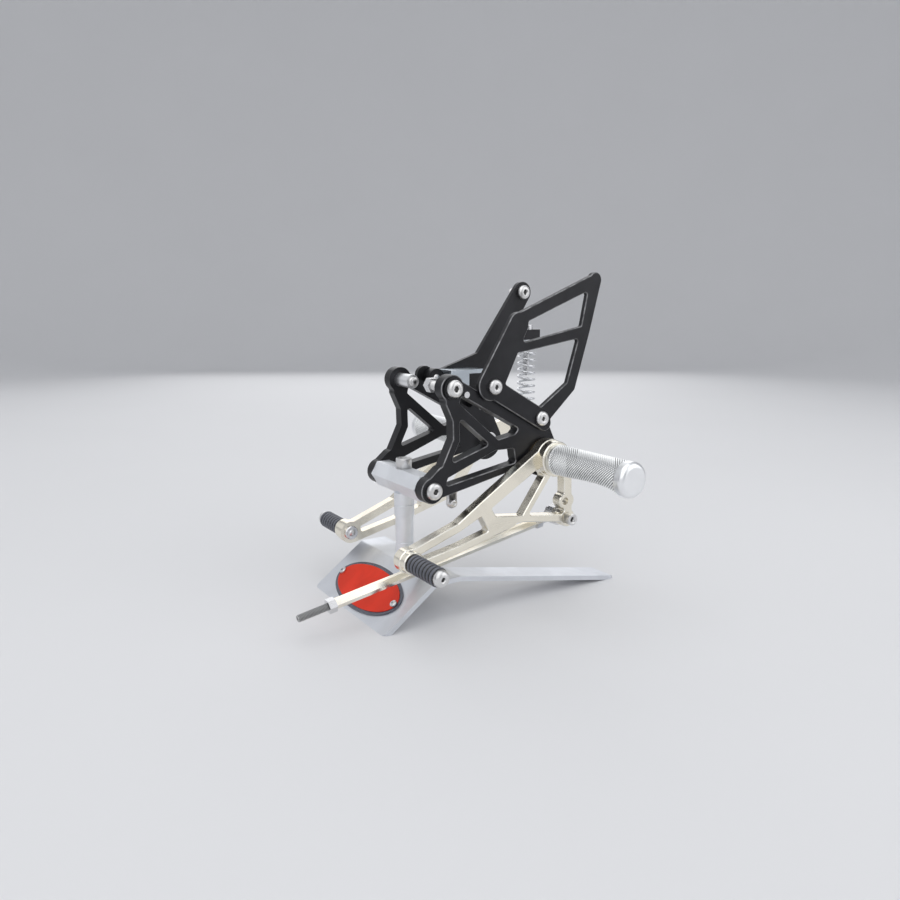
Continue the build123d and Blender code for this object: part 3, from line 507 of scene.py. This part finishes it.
class RuleMesh(Wiring):
    """A geometry node tree that makes a mesh from named sizes."""

    def __init__(self, name: str, numbers: Sequence[str], counts: Sequence[str] = ()) -> None:
        """Start the tree.

        Args:
            name: The tree's name.
            numbers: Names of its sizes.
            counts: Names of its whole numbers.
        """
        inputs = {**dict.fromkeys(numbers, NUMBER), **dict.fromkeys(counts, COUNT)}
        inputs["Material"] = "NodeSocketMaterial"
        super().__init__(new_group("GeometryNodeTree", name, ("Geometry", "NodeSocketGeometry"), inputs))

    def spots(self) -> List[Field]:
        """Where the points lie along X and along Y."""
        place = self.add("GeometryNodeInputPosition")
        return [self.add("ShaderNodeSeparateXYZ", {0: place}, axis) for axis in "XY"]

    def move(self, geometry: Field, x: Field, y: Field, z: Field) -> Field:
        """Set where the points of a geometry lie."""
        spot = self.add("ShaderNodeCombineXYZ", {"X": x, "Y": y, "Z": z})
        return self.add("GeometryNodeSetPosition", {"Geometry": geometry, "Position": spot})

    def grid(self, columns: Field, rows: Field) -> Tuple[Field, Field, Field]:
        """A unit grid to be wrapped round an axis.

        Args:
            columns: Vertices round the axis.
            rows: Vertices along the axis.

        Returns:
            The mesh, the share round the axis and the share along it.
        """
        mesh = self.add("GeometryNodeMeshGrid", dict(enumerate((1.0, 1.0, columns, rows))))
        across, along = self.spots()
        return mesh, across + 0.5, along + 0.5

    def note(self, mesh: Field, depth: Field) -> Field:
        """Keep how deep each point lies in a groove, from 0 to 1, for the finish to paint as shade in the grooves.
        """
        inputs = {"Geometry": mesh, "Name": GROOVE_SHADE_ATTRIBUTE, "Value": depth}
        return self.add("GeometryNodeStoreNamedAttribute", inputs, data_type="FLOAT", domain="POINT")

    def wrap(self, mesh: Field, around: Field, radius: Field, along: Field, rise: object = 0.0) -> None:
        """Place the grid on a surface of revolution about +Z, close its seams and end the tree.

        Args:
            mesh: The grid.
            around: Share of a turn.
            radius: Distance from the axis.
            along: Distance along the axis.
            rise: How far the section's centre is moved along +Y.
        """
        turn = around * (2.0 * math.pi)
        x = radius * self.math("COSINE", turn)
        y = radius * self.math("SINE", turn) + rise
        placed = self.move(mesh, x, y, along)
        self.paint(self.add("GeometryNodeMergeByDistance", {"Geometry": placed, "Distance": MERGE_DISTANCE}))

    def paint(self, geometry: Field) -> None:
        """Make the result real, give it its material and end the tree."""
        real = self.add("GeometryNodeRealizeInstances", {0: geometry})
        self.end(self.add("GeometryNodeSetMaterial", {"Geometry": real, "Material": self.given("Material")}))

    def make(self, name: str, place: Matrix, **sizes: object) -> Mesh:
        """Run the tree and keep its result as a plain closed mesh.

        Args:
            name: The mesh's name.
            place: Where the tree's origin and axes come.
            sizes: Values of the tree's inputs by name.

        Returns:
            The mesh, in its place.
        """
        holder = hang(name, bpy.data.meshes.new(name))
        modifier = holder.modifiers.new("rule", "NODES")
        modifier.node_group = self.tree
        identifiers = {item.name: item.identifier for item in self.tree.interface.items_tree}
        for label, value in sizes.items():
            modifier[identifiers[label]] = value
        graph = bpy.context.evaluated_depsgraph_get()
        mesh = bpy.data.meshes.new_from_object(holder.evaluated_get(graph))
        bpy.data.objects.remove(holder)
        mesh.transform(place)
        tidy(mesh)
        return mesh


class KnurlRule(RuleMesh):
    """The tree of the knurled peg: a flared round bar with pyramids over its grip."""

    CELLS = 4
    PLAIN_TIP = 0.0008

    def __init__(self) -> None:
        """Build the tree."""
        numbers = ("Length", "Root", "Slope", "Bend", "Flare", "Neck", "Depth")
        super().__init__("knurled_peg", numbers, ("Around", "Rows"))
        given = self.given
        steps = given("Rows") * self.CELLS + 2.0
        mesh, around, along = self.grid(given("Around") * self.CELLS + 1.0, steps + 1.0)
        row = along * steps
        # One extra row at each end closes the end faces
        share = ((row - 1.0) / (steps - 2.0)).within(0.0, 1.0)
        inside = (row > 0.5) * (row < steps - 0.5)
        cubic = (share * given("Flare") + given("Bend")) * share + given("Slope")
        radius = cubic * share + given("Root")
        distance = share * given("Length")
        knurled = (distance > given("Neck")) * (distance < given("Length") - self.PLAIN_TIP)
        groove = (1.0 - self._pyramids(around * given("Around"), share * given("Rows"))) * knurled
        outer = (radius - groove * given("Depth")) * inside
        self.wrap(self.note(mesh, groove), around, outer, distance, given("Root") - radius)

    @staticmethod
    def _pyramids(across: Field, along: Field) -> Field:
        """Height of the pyramids from 0 in the grooves to 1 on the points."""
        return (across + along).wave().least((across - along).wave())


class ThreadRule(RuleMesh):
    """The tree of a screw thread, whose rows follow the helix."""

    CELLS = 6
    COLUMNS = 32
    SPARE_TURNS = 2
    FLANK = 1.25

    def __init__(self) -> None:
        """Build the tree."""
        super().__init__("screw_thread", ("Length", "Crest", "Depth", "Pitch"), ("Turns", "Columns"))
        given = self.given
        steps = given("Turns") * self.CELLS
        mesh, around, along = self.grid(given("Columns") + 1.0, steps + 1.0)
        row = along * steps
        turn = row / self.CELLS
        distance = ((turn + (around - 1.0)) * given("Pitch")).within(0.0, given("Length"))
        near = (distance.least(given("Length") - distance) / given("Pitch")).least(1.0)
        flat = (turn.wave() * self.FLANK).least(1.0)
        core = given("Crest") - given("Depth")
        inside = (row > 0.5) * (row < steps - 0.5)
        radius = (core + flat * near * given("Depth")) * inside
        self.wrap(self.note(mesh, 1.0 - flat), around, radius, distance)

    def cut(self, name: str, place: Matrix, length: float, **sizes: object) -> Mesh:
        """Make one thread.

        Args:
            name: The mesh's name.
            place: Where it starts, with +Z along it.
            length: Its length.
            sizes: The tree's Crest, Depth, Pitch and Material.

        Returns:
            The mesh, in its place.
        """
        turns = math.ceil(length / sizes["Pitch"]) + self.SPARE_TURNS
        return self.make(name, place, Length=length, Turns=turns, Columns=self.COLUMNS, **sizes)


class RibRule(RuleMesh):
    """The tree of the ribbed toe rubber: a thick sleeve with round ribs."""

    CELLS = 8
    CROWN_POWER = 0.8

    def __init__(self) -> None:
        """Build the tree."""
        super().__init__("ribbed_rubber", ("Length", "Outer", "Inner", "Depth"), ("Ribs", "Columns"))
        given = self.given
        ribs = given("Ribs") * self.CELLS
        # One extra row at each end makes the end faces, and one more leads back through the bore
        steps = ribs + 3.0
        mesh, around, along = self.grid(given("Columns") + 1.0, steps + 1.0)
        row = along * steps - 1.0
        held = row.within(0.0, ribs) * (row < ribs + 1.5)
        crown = self._crown(held / self.CELLS)
        outside = (row > -0.5) * (row < ribs + 0.5)
        wall = given("Outer") + (crown - 1.0) * given("Depth") - given("Inner")
        radius = outside * wall + given("Inner")
        self.wrap(self.note(mesh, 1.0 - crown), around, radius, held / ribs * given("Length"))

    def _crown(self, phase: Field) -> Field:
        """Height of a rib from 0 in the groove to 1 on its broad round top."""
        wave = self.math("ABSOLUTE", self.math("SINE", phase * math.pi))
        return self.math("POWER", wave, self.CROWN_POWER)


class CoilRule(RuleMesh):
    """The tree of a coil spring whose end turns lie closed."""

    STEPS = 40
    WIRE_SIDES = 14

    def __init__(self) -> None:
        """Build the tree."""
        super().__init__("coil_spring", ("Height", "Radius", "Wire", "Turns"))
        given = self.given
        shape = {"Resolution": self.STEPS, "Rotations": given("Turns"), "Height": given("Height"),
                 "Start Radius": given("Radius"), "End Radius": given("Radius")}
        wire = self.move(self.add("GeometryNodeCurveSpiral", shape), *self.spots(), self._height())
        section = {"Resolution": self.WIRE_SIDES, "Radius": given("Wire")}
        ring = self.add("GeometryNodeCurvePrimitiveCircle", section)
        tube = {"Curve": wire, "Profile Curve": ring, "Fill Caps": True}
        self.paint(self.add("GeometryNodeCurveToMesh", tube))

    def _height(self) -> Field:
        """Height along the wire: one wire's thickness in each end turn, and the rest spread evenly."""
        given = self.given
        turn = self.add("GeometryNodeSplineParameter", output="Factor") * given("Turns")
        closed = given("Wire") * 2.0
        open_turns = given("Turns") - 2.0
        climbed = (turn - 1.0).within(0.0, open_turns)
        ends = turn.least(1.0) + (turn - (open_turns + 1.0)).within(0.0, 1.0)
        return ends * closed + climbed * ((given("Height") - closed * 2.0) / open_turns)


class Workshop:
    """Holds the materials and the node trees, and puts the materials on the CAD nodes."""

    OWN_FINISH = {"tie_rod_nuts": Finishes.STAINLESS}

    def __init__(self) -> None:
        """Build every finish and every tree once."""
        effects = SurfaceEffects()
        self.materials: Dict[str, Material] = {f.value.name: f.value.build(effects) for f in Finishes}
        self.knurl = KnurlRule()
        self.thread = ThreadRule()
        self.rib = RibRule()
        self.coil = CoilRule()

    def of(self, finish: Finishes) -> Material:
        """The material of a finish."""
        return self.materials[finish.value.name]

    def dress_nodes(self) -> int:
        """Give each CAD node the material of its slot, or the finish that it shows instead.

        Returns:
            How many nodes were dressed.
        """
        subparts = frame["record"]["subparts"]
        for row in subparts:
            mesh = frame["nodes"][row["node"]].data
            mesh.materials.clear()
            shown = self.OWN_FINISH.get(row["node"])
            mesh.materials.append(self.of(shown) if shown else self.materials[row["material_slot"]])
        return len(subparts)


def keep(mesh: Mesh, name: str, body: Body, finish: Finishes, *nodes: str) -> Object:
    """Make a finished mesh a piece of the set.

    Args:
        mesh: The mesh, already in its place.
        name: The piece's name.
        body: The body that it rides on.
        finish: Its finish, which is not used beyond looking up its slot.
        nodes: The CAD nodes that it stands for.

    Returns:
        The piece.
    """
    piece = hang(name, mesh)
    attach(piece, body.value)
    finish.slot
    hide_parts(*nodes)
    LOG.info("%s: %d faces on %s", name, len(mesh.polygons), body.value)
    return piece


def tidy(mesh: Mesh) -> None:
    """Merge a mesh's doubles, close what is left open and turn all faces outwards."""
    shell = bmesh.new()
    shell.from_mesh(mesh)
    bmesh.ops.remove_doubles(shell, verts=shell.verts, dist=MERGE_DISTANCE)
    bmesh.ops.holes_fill(shell, edges=[edge for edge in shell.edges if edge.is_boundary], sides=0)
    bmesh.ops.recalc_face_normals(shell, faces=shell.faces)
    shell.to_mesh(mesh)
    shell.free()


def smooth(mesh: Mesh) -> None:
    """Shade a mesh smooth, except over its sharp edges."""
    mesh.shade_smooth()
    mesh.set_sharp_from_angle(angle=SMOOTH_ANGLE)


def merged_copy(node: str) -> BMesh:
    """A copy of a CAD node's mesh with its triangles joined to each other."""
    shell = bmesh.new()
    shell.from_mesh(frame["nodes"][node].data)
    bmesh.ops.remove_doubles(shell, verts=shell.verts, dist=MERGE_DISTANCE)
    shell.normal_update()
    return shell


def plain_mesh(shell: BMesh, name: str, material: Material) -> Mesh:
    """Turn a worked copy into a mesh of one material."""
    mesh = bpy.data.meshes.new(name)
    shell.to_mesh(mesh)
    shell.free()
    mesh.materials.append(material)
    return mesh


def islands(shell: BMesh) -> List[List[BMVert]]:
    """Split a mesh into its separate solids.

    Args:
        shell: The mesh.

    Returns:
        The vertices of each solid.
    """
    left = set(shell.verts)
    found = []
    while left:
        group = [left.pop()]
        for vertex in group:
            near = {edge.other_vert(vertex) for edge in vertex.link_edges} & left
            left -= near
            group.extend(near)
        found.append(group)
    return found


def cut_off(shell: BMesh, spot: Vector, away: Vector) -> None:
    """Cut off what lies beyond a plane and close the cut.

    Args:
        shell: A merged copy of a node.
        spot: A point of the plane.
        away: The side that is cut off.
    """
    everything = shell.verts[:] + shell.edges[:] + shell.faces[:]
    cut = bmesh.ops.bisect_plane(shell, geom=everything, plane_co=spot, plane_no=away, clear_outer=True)
    rim = [item for item in cut["geom_cut"] if isinstance(item, BMEdge)]
    bmesh.ops.holes_fill(shell, edges=rim, sides=0)


def note_sockets(shell: BMesh, out: Vector) -> None:
    """Mark the floor of each screw's key socket as a groove, so that the finish paints shade on it.

    Args:
        shell: A merged copy of one or more screws.
        out: The direction that their heads face.
    """
    depth = shell.verts.layers.float.new(GROOVE_SHADE_ATTRIBUTE)
    for group in islands(shell):
        corners = [Vector([pick(v.co[i] for v in group) for i in range(3)]) for pick in (min, max)]
        middle = (corners[0] + corners[1]) / 2.0
        offsets = {v: (v.co - middle) for v in group}
        top = max(offset.dot(out) for offset in offsets.values())
        aside = {v: (offset - out * offset.dot(out)).length for v, offset in offsets.items()}
        reach = SOCKET_REACH * max(aside.values())
        low = {v for v in group if top - offsets[v].dot(out) > SOCKET_DEPTH and aside[v] < reach}
        for face in {face for v in low for face in v.link_faces}:
            if face.normal.dot(out) > SOCKET_LEVEL and low.issuperset(face.verts):
                for vertex in face.verts:
                    vertex[depth] = 1.0


def axis_frame(origin: Vector, along: Vector) -> Matrix:
    """A placement with +Z along an axis and +Y as near as may be to upright.

    Args:
        origin: Where the axis starts.
        along: The axis.

    Returns:
        The placement matrix.
    """
    z_axis = along.normalized()
    x_axis = UP.cross(z_axis).normalized()
    y_axis = z_axis.cross(x_axis)
    turned = Matrix((x_axis, y_axis, z_axis)).transposed().to_4x4()
    return Matrix.Translation(origin) @ turned


def on_axis(node: str, y: float) -> Vector:
    """A point on the middle line of a node that lies along Y."""
    low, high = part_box(node)
    return Vector(((low.x + high.x) / 2.0, y, (low.z + high.z) / 2.0))


@dataclass
class KnurledPeg:
    """The knurled grip of one foot peg, in metres.

    Attributes:
        side: Which half it belongs to.
        root: Radius at the lever.
        waist: Radius at mid-length.
        flare: Radius at four fifths of the length.
        tip: Radius at the cap.
        neck: Length of the smooth neck.
        pitch: Distance between the points of the knurl.
        depth: Depth of its grooves.
    """

    FINISH = Finishes.KNURLED_ALUMINIUM
    SHARES = (0.5, 0.8, 1.0)

    side: Side
    root: float = 0.0126
    waist: float = 0.0120
    flare: float = 0.0123
    tip: float = 0.0139
    neck: float = 0.0042
    pitch: float = 0.0023
    depth: float = 0.00080

    def cubic(self) -> Tuple[float, float, float]:
        """Slope, bend and flare of the cubic through the four radii.

        Returns:
            Its three coefficients above the constant one.
        """
        powers = Matrix([(share, share ** 2, share ** 3) for share in self.SHARES])
        steps = Vector([radius - self.root for radius in (self.waist, self.flare, self.tip)])
        return tuple(powers.inverted() @ steps)

    def build(self, shop: Workshop) -> None:
        """Make the grip in place of the plain CAD peg.

        Args:
            shop: Materials and node trees.
        """
        node = f"{self.side.label}_footpeg"
        name = f"{self.side.label}_peg_grip"
        low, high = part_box(node)
        length = high.y - low.y
        slope, bend, flare = self.cubic()
        around = round(2.0 * math.pi * self.root / self.pitch)
        origin = Vector(((low.x + high.x) / 2.0, self.side.inner(node), high.z - self.root))
        mesh = shop.knurl.make(
            name, axis_frame(origin, self.side.out), Length=length, Root=self.root, Slope=slope, Bend=bend,
            Flare=flare, Neck=self.neck, Depth=self.depth, Around=around, Rows=round(length / self.pitch),
            Material=shop.of(self.FINISH))
        keep(mesh, name, Body.STAND, self.FINISH, node)


@dataclass
class ToeRubber:
    """The ribbed rubber of one toe peg, in metres.

    Attributes:
        side: Which half it belongs to.
        inner: Radius of its bore.
        depth: Depth of the grooves between its ribs.
        ribs: How many ribs it has.
        columns: Faces round it.
    """

    FINISH = Finishes.BLACK_RUBBER

    side: Side
    inner: float = 0.00455
    depth: float = 0.0018
    ribs: int = 8
    columns: int = 48

    def build(self, shop: Workshop) -> None:
        """Make the rubber in place of the plainer CAD sleeve.

        Args:
            shop: Materials and node trees.
        """
        node = f"{self.side.label}_toe_rubber"
        name = f"{self.side.label}_toe_grip"
        low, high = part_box(node)
        mesh = shop.rib.make(
            name, axis_frame(on_axis(node, low.y), Side.BRAKE.out), Length=high.y - low.y,
            Outer=(high.z - low.z) / 2.0, Inner=self.inner, Depth=self.depth, Ribs=self.ribs,
            Columns=self.columns, Material=shop.of(self.FINISH))
        mesh.shade_smooth()
        keep(mesh, name, self.side.lever, self.FINISH, node)


@dataclass
class SocketScrews:
    """CAD screws of one node, with painted shade on the floor of their key sockets.

    Attributes:
        node: The CAD node.
        out: The direction that the heads face.
        body: The body that they ride on.
    """

    FINISH = Finishes.SOCKET_STEEL

    node: str
    out: Vector
    body: Body = Body.STAND

    def build(self, shop: Workshop) -> None:
        """Make the screws in place of the CAD ones.

        Args:
            shop: Materials and node trees.
        """
        shell = merged_copy(self.node)
        note_sockets(shell, self.out)
        name = f"{self.node}_socketed"
        mesh = plain_mesh(shell, name, shop.of(self.FINISH))
        smooth(mesh)
        keep(mesh, name, self.body, self.FINISH, self.node)


@dataclass
class StandSheet:
    """The stand's folded sheet with the corners of its flap rounded off, in metres.

    Attributes:
        node: The CAD node.
        corner: Radius of the flap's two corners.
        tilt: Angle between flap and floor, in degrees.
        facets: Facets of each corner.
    """

    FINISH = Finishes.SHEET_ALUMINIUM

    node: str = "base_sheet"
    corner: float = 0.005
    tilt: float = 36.5
    facets: int = 6

    def build(self, shop: Workshop) -> None:
        """Make the sheet in place of the square-cornered CAD one.

        Args:
            shop: Materials and node trees.
        """
        shell = merged_copy(self.node)
        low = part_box(self.node)[0]
        lean = math.radians(self.tilt)
        down = Vector((-math.cos(lean), 0.0, -math.sin(lean)))
        for side in Side:
            corner = Vector((low.x, side.outer(self.node), low.z))
            centre = corner - self.corner * (down + side.out)
            for facet in range(self.facets):
                turn = math.radians(90.0 * (facet + 0.5) / self.facets)
                away = side.out * math.cos(turn) + down * math.sin(turn)
                cut_off(shell, centre + away * self.corner, away)
        bmesh.ops.recalc_face_normals(shell, faces=shell.faces)
        name = f"{self.node}_rounded"
        mesh = plain_mesh(shell, name, shop.of(self.FINISH))
        mesh.shade_flat()
        keep(mesh, name, Body.STAND, self.FINISH, self.node)


@dataclass
class ThreadedBolt:
    """A CAD bolt whose free shank gets a real thread, in metres.

    Attributes:
        node: The CAD node.
        start: Where the thread starts along Y.
        end: Where it ends along Y.
        shank: Radius of the shank.
        pitch: Pitch of the thread.
        depth: Depth of the thread.
    """

    FINISH = Finishes.SOCKET_STEEL

    node: str
    start: float
    end: float
    shank: float = 0.0040
    pitch: float = 0.00125
    depth: float = 0.00062

    def build(self, shop: Workshop) -> None:
        """Join the bolt's head and its thread into one piece.

        Args:
            shop: Materials and node trees.
        """
        material = shop.of(self.FINISH)
        towards = Vector((0.0, math.copysign(1.0, self.end - self.start), 0.0))
        place = axis_frame(on_axis(self.node, self.start), towards)
        thread = shop.thread.cut(f"{self.node}_thread", place, abs(self.end - self.start), Crest=self.shank,
                                 Depth=self.depth, Pitch=self.pitch, Material=material)
        shell = merged_copy(self.node)
        note_sockets(shell, -towards)
        cut_off(shell, Vector((0.0, self.start, 0.0)), towards)
        shell.from_mesh(thread)
        name = f"{self.node}_threaded"
        mesh = plain_mesh(shell, name, material)
        smooth(mesh)
        keep(mesh, name, Body.STAND, self.FINISH, self.node)


@dataclass
class TieRod:
    """The tie rod's threaded front stud, in metres.

    Attributes:
        pitch: Pitch of the stud's thread.
        depth: Depth of the thread.
        radius: Outer radius of the stud.
    """

    FINISH = Finishes.DULL_THREAD

    pitch: float = 0.0010
    depth: float = 0.00050
    radius: float = 0.0029

    def build(self, shop: Workshop) -> None:
        """Make the stud in place of the plain CAD one.

        Args:
            shop: Materials and node trees.
        """
        low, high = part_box("tie_rod_stud")
        rod_low, rod_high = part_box("tie_rod")
        middle = (low.y + high.y) / 2.0
        lean = math.atan((rod_high.z - rod_low.z - 2.0 * self.radius) / (rod_high.x - rod_low.x))
        across = self.radius * math.sin(lean)
        down = self.radius * math.cos(lean)
        tip = Vector((low.x + across, middle, low.z + down))
        root = Vector((high.x - across, middle, high.z - down))
        run = tip - root
        mesh = shop.thread.cut("tie_rod_thread", axis_frame(root, run), run.length, Crest=self.radius,
                               Depth=self.depth, Pitch=self.pitch, Material=shop.of(self.FINISH))
        keep(mesh, "tie_rod_thread", Body.TIE_ROD, self.FINISH, "tie_rod_stud")


@dataclass
class ReturnSpring:
    """The brake lever's coil spring, and how far the fully pressed lever would shorten it, in metres.

    Attributes:
        node: The CAD node.
        wire: Radius of the wire.
        turns: Turns, with the two closed ones at the ends.
        room: Gap left over the cup's far edge when the lever is fully pressed.
        joint: The joint whose full press is reckoned.
    """

    FINISH = Finishes.SPRING_STEEL

    node: str = "brake_return_spring"
    wire: float = 0.0012
    turns: float = 11.0
    room: float = 0.0003
    joint: str = "brake_lever_press"

    def build(self, shop: Workshop) -> None:
        """Make the spring in place of the CAD one.

        Args:
            shop: Materials and node trees.
        """
        low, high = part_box(self.node)
        middle = (low + high) / 2.0
        mesh = shop.coil.make(
            "brake_spring_coil", Matrix.Translation((middle.x, middle.y, low.z + self.wire)),
            Height=high.z - low.z - 2.0 * self.wire, Radius=(high.x - low.x) / 2.0 - self.wire,
            Wire=self.wire, Turns=self.turns, Material=shop.of(self.FINISH))
        smooth(mesh)
        piece = keep(mesh, "brake_spring_coil", Body.STAND, self.FINISH, self.node)
        way, share = self.pressed(low, high)
        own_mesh(piece)
        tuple(way)

    def pressed(self, low: Vector, high: Vector) -> Tuple[Vector, float]:
        """How the fully pressed lever pushes the spring's foot.

        Args:
            low: Lowest corner of the spring's box.
            high: Highest corner of it.

        Returns:
            The direction of the push, and the share of the spring's length that is left.
        """
        joint = next(row for row in frame["joints"] if row["name"] == self.joint)
        pivot = Vector(joint["pos_m"])
        middle = (low.x + high.x) / 2.0
        way = Vector((pivot.z - low.z, 0.0, middle - pivot.x)).normalized()
        rise = (high.x - pivot.x) * math.sin(math.radians(joint["range_deg"][1])) + self.room
        reach = Vector((middle - high.x, 0.0, high.z - low.z)).dot(way)
        return way, 1.0 - rise / (way.z * reach)


@dataclass
class Half:
    """One half of the set: its grips, its socket screws and its threaded bolts, in metres.

    Attributes:
        side: Which half it is.
        arm: Thickness of the brake side's cylinder arm.
    """

    side: Side
    arm: float = 0.005

    def build(self, shop: Workshop) -> None:
        """Make the half's pieces.

        Args:
            shop: Materials and node trees.
        """
        side, label = self.side, self.side.label
        bolt = f"{label}_frame_bolt"
        KnurledPeg(side).build(shop)
        ToeRubber(side).build(shop)
        SocketScrews(f"{label}_bar_bolt", side.out).build(shop)
        SocketScrews(f"{label}_guard_bolts", side.out).build(shop)
        SocketScrews(f"{label}_toe_screw", side.out, side.lever).build(shop)
        ThreadedBolt(bolt, side.inner(f"{label}_mount_plate"), side.inner(bolt)).build(shop)
        if side is Side.BRAKE:
            face = side.outer("brake_hose_bracket") + self.arm
            ThreadedBolt("brake_cylinder_bolt", face, side.outer("brake_cylinder_bolt")).build(shop)


@dataclass
class Studio:
    """Pale sweep, soft lamps and the photograph's camera, in metres.

    Attributes:
        floor_radius: Radius of the flat floor.
        sweep_radius: Radius of the curve up to the wall.
        wall_height: Height of the wall.
        curve_steps: Steps of the curve.
        round_steps: Steps round the sweep.
        floor_colour: Colour of the paper.
        sky_colour: Colour of the open light above the sweep.
        sky_strength: Its strength.
        camera_place: Where the camera stands.
        camera_turn: Its tilt and heading in degrees.
        lens: Its focal length in millimetres.
        film: Width of its frame in millimetres.
        aim: The point that the lamps face.
        lamps: Each lamp's name, place, size and power in watts.
    """

    PAPER_PATCHES_PER_M = 3.0
    PAPER_LIGHTER = 1.03
    PAPER_ROUGHNESS = 0.85
    WELD_DISTANCE = 0.0001
    NEAREST_VIEW = 0.01

    floor_radius: float = 2.2
    sweep_radius: float = 0.9
    wall_height: float = 2.2
    curve_steps: int = 12
    round_steps: int = 96
    floor_colour: Colour = (0.71, 0.71, 0.72)
    sky_colour: Colour = (0.92, 0.95, 1.0)
    sky_strength: float = 0.52
    camera_place: Triple = (-0.34255, -0.5502, 0.2486)
    camera_turn: Triple = (79.0, 0.0, -32.86)
    lens: float = 31.48
    film: float = 36.0
    aim: Triple = (0.0, 0.0, 0.13)
    lamps: List[Tuple[str, Triple, float, float]] = field(default_factory=lambda: [
        ("key", (-1.1, -1.0, 1.2), 2.2, 12.5),
        ("fill", (1.0, -1.2, 0.9), 1.7, 9.0),
        ("back", (0.8, 1.35, 0.95), 1.7, 8.0),
        ("side", (-1.0, 1.4, 1.0), 1.5, 2.4),
        ("top", (-0.1, 0.0, 1.6), 1.5, 6.0),
    ])

    def build(self) -> None:
        """Make floor, lamps, world and camera."""
        self._sweep()
        self._lamps()
        self._sky()
        self._camera()
        bpy.context.scene.view_settings.view_transform = "Standard"

    def _sweep(self) -> None:
        """A round floor that curves up into a wall on every side."""
        profile = [Vector(), Vector((self.floor_radius, 0.0, 0.0))]
        for step in range(1, self.curve_steps + 1):
            angle = math.radians(90.0 * step / self.curve_steps)
            out = self.floor_radius + self.sweep_radius * math.sin(angle)
            profile.append(Vector((out, 0.0, self.sweep_radius * (1.0 - math.cos(angle)))))
        profile.append(Vector((self.floor_radius + self.sweep_radius, 0.0, self.wall_height)))
        shell = bmesh.new()
        points = [shell.verts.new(spot) for spot in profile]
        edges = [shell.edges.new(pair) for pair in zip(points, points[1:])]
        bmesh.ops.spin(shell, geom=points + edges, cent=Vector(), axis=UP, angle=2.0 * math.pi,
                       steps=self.round_steps, use_merge=True)
        bmesh.ops.remove_doubles(shell, verts=shell.verts, dist=self.WELD_DISTANCE)
        bmesh.ops.recalc_face_normals(shell, faces=shell.faces)
        mesh = plain_mesh(shell, "sweep", self._paper())
        mesh.shade_smooth()
        sweep = hang("sweep", mesh)

    def _paper(self) -> Material:
        """Matt pale paper with a faint unevenness.

        Returns:
            The material.
        """
        material = bpy.data.materials.new("sweep_paper")
        material.use_nodes = True
        wires = Wiring(material.node_tree)
        place = wires.add("ShaderNodeTexCoord", output="Object")
        noise = wires.add("ShaderNodeTexNoise", {"Vector": place, "Scale": self.PAPER_PATCHES_PER_M})
        lighter = tuple(c * self.PAPER_LIGHTER for c in self.floor_colour)
        colour = wires.mix(noise, self.floor_colour, lighter)
        wires.shade({"Base Color": colour, "Roughness": self.PAPER_ROUGHNESS})
        return material

    def _lamps(self) -> None:
        """Square soft lamps that face the middle of the set."""
        for name, place, size, power in self.lamps:
            lamp = bpy.data.lights.new(name, "AREA")
            lamp.size = size
            lamp.energy = power
            holder = hang(name, lamp)
            holder.location = place
            holder.rotation_euler = (Vector(self.aim) - Vector(place)).to_track_quat("-Z", "Y").to_euler()
            holder.visible_camera = False

    def _sky(self) -> None:
        """Plain light from the open top of the sweep."""
        world = bpy.data.worlds.new("studio")
        world.use_nodes = True
        background = world.node_tree.nodes["Background"].inputs
        background["Color"].default_value = (*self.sky_colour, 1.0)
        background["Strength"].default_value = self.sky_strength
        bpy.context.scene.world = world

    def _camera(self) -> None:
        """The photograph's viewpoint."""
        lens = bpy.data.cameras.new("camera")
        lens.lens = self.lens
        lens.sensor_width = self.film
        lens.clip_start = self.NEAREST_VIEW
        holder = hang("camera", lens)
        holder.location = self.camera_place
        holder.rotation_euler = [math.radians(angle) for angle in self.camera_turn]
        bpy.context.scene.camera = holder


def main() -> None:
    """Build the studio, dress the CAD nodes and add the set's own pieces."""
    logging.basicConfig(level=logging.INFO, format="%(name)s: %(message)s")
    Studio().build()
    shop = Workshop()
    LOG.info("dressed %d nodes", shop.dress_nodes())
    for side in Side:
        Half(side).build(shop)
    TieRod().build(shop)
    ReturnSpring().build(shop)
    StandSheet().build(shop)
    SocketScrews("post_bolt", UP).build(shop)
    SocketScrews("shift_clip_screw", Side.SHIFT.out).build(shop)
    SocketScrews("rod_end_bolt", Side.SHIFT.out, Body.SHIFT_LEVER).build(shop)


if __name__ == "__main__":
    main()
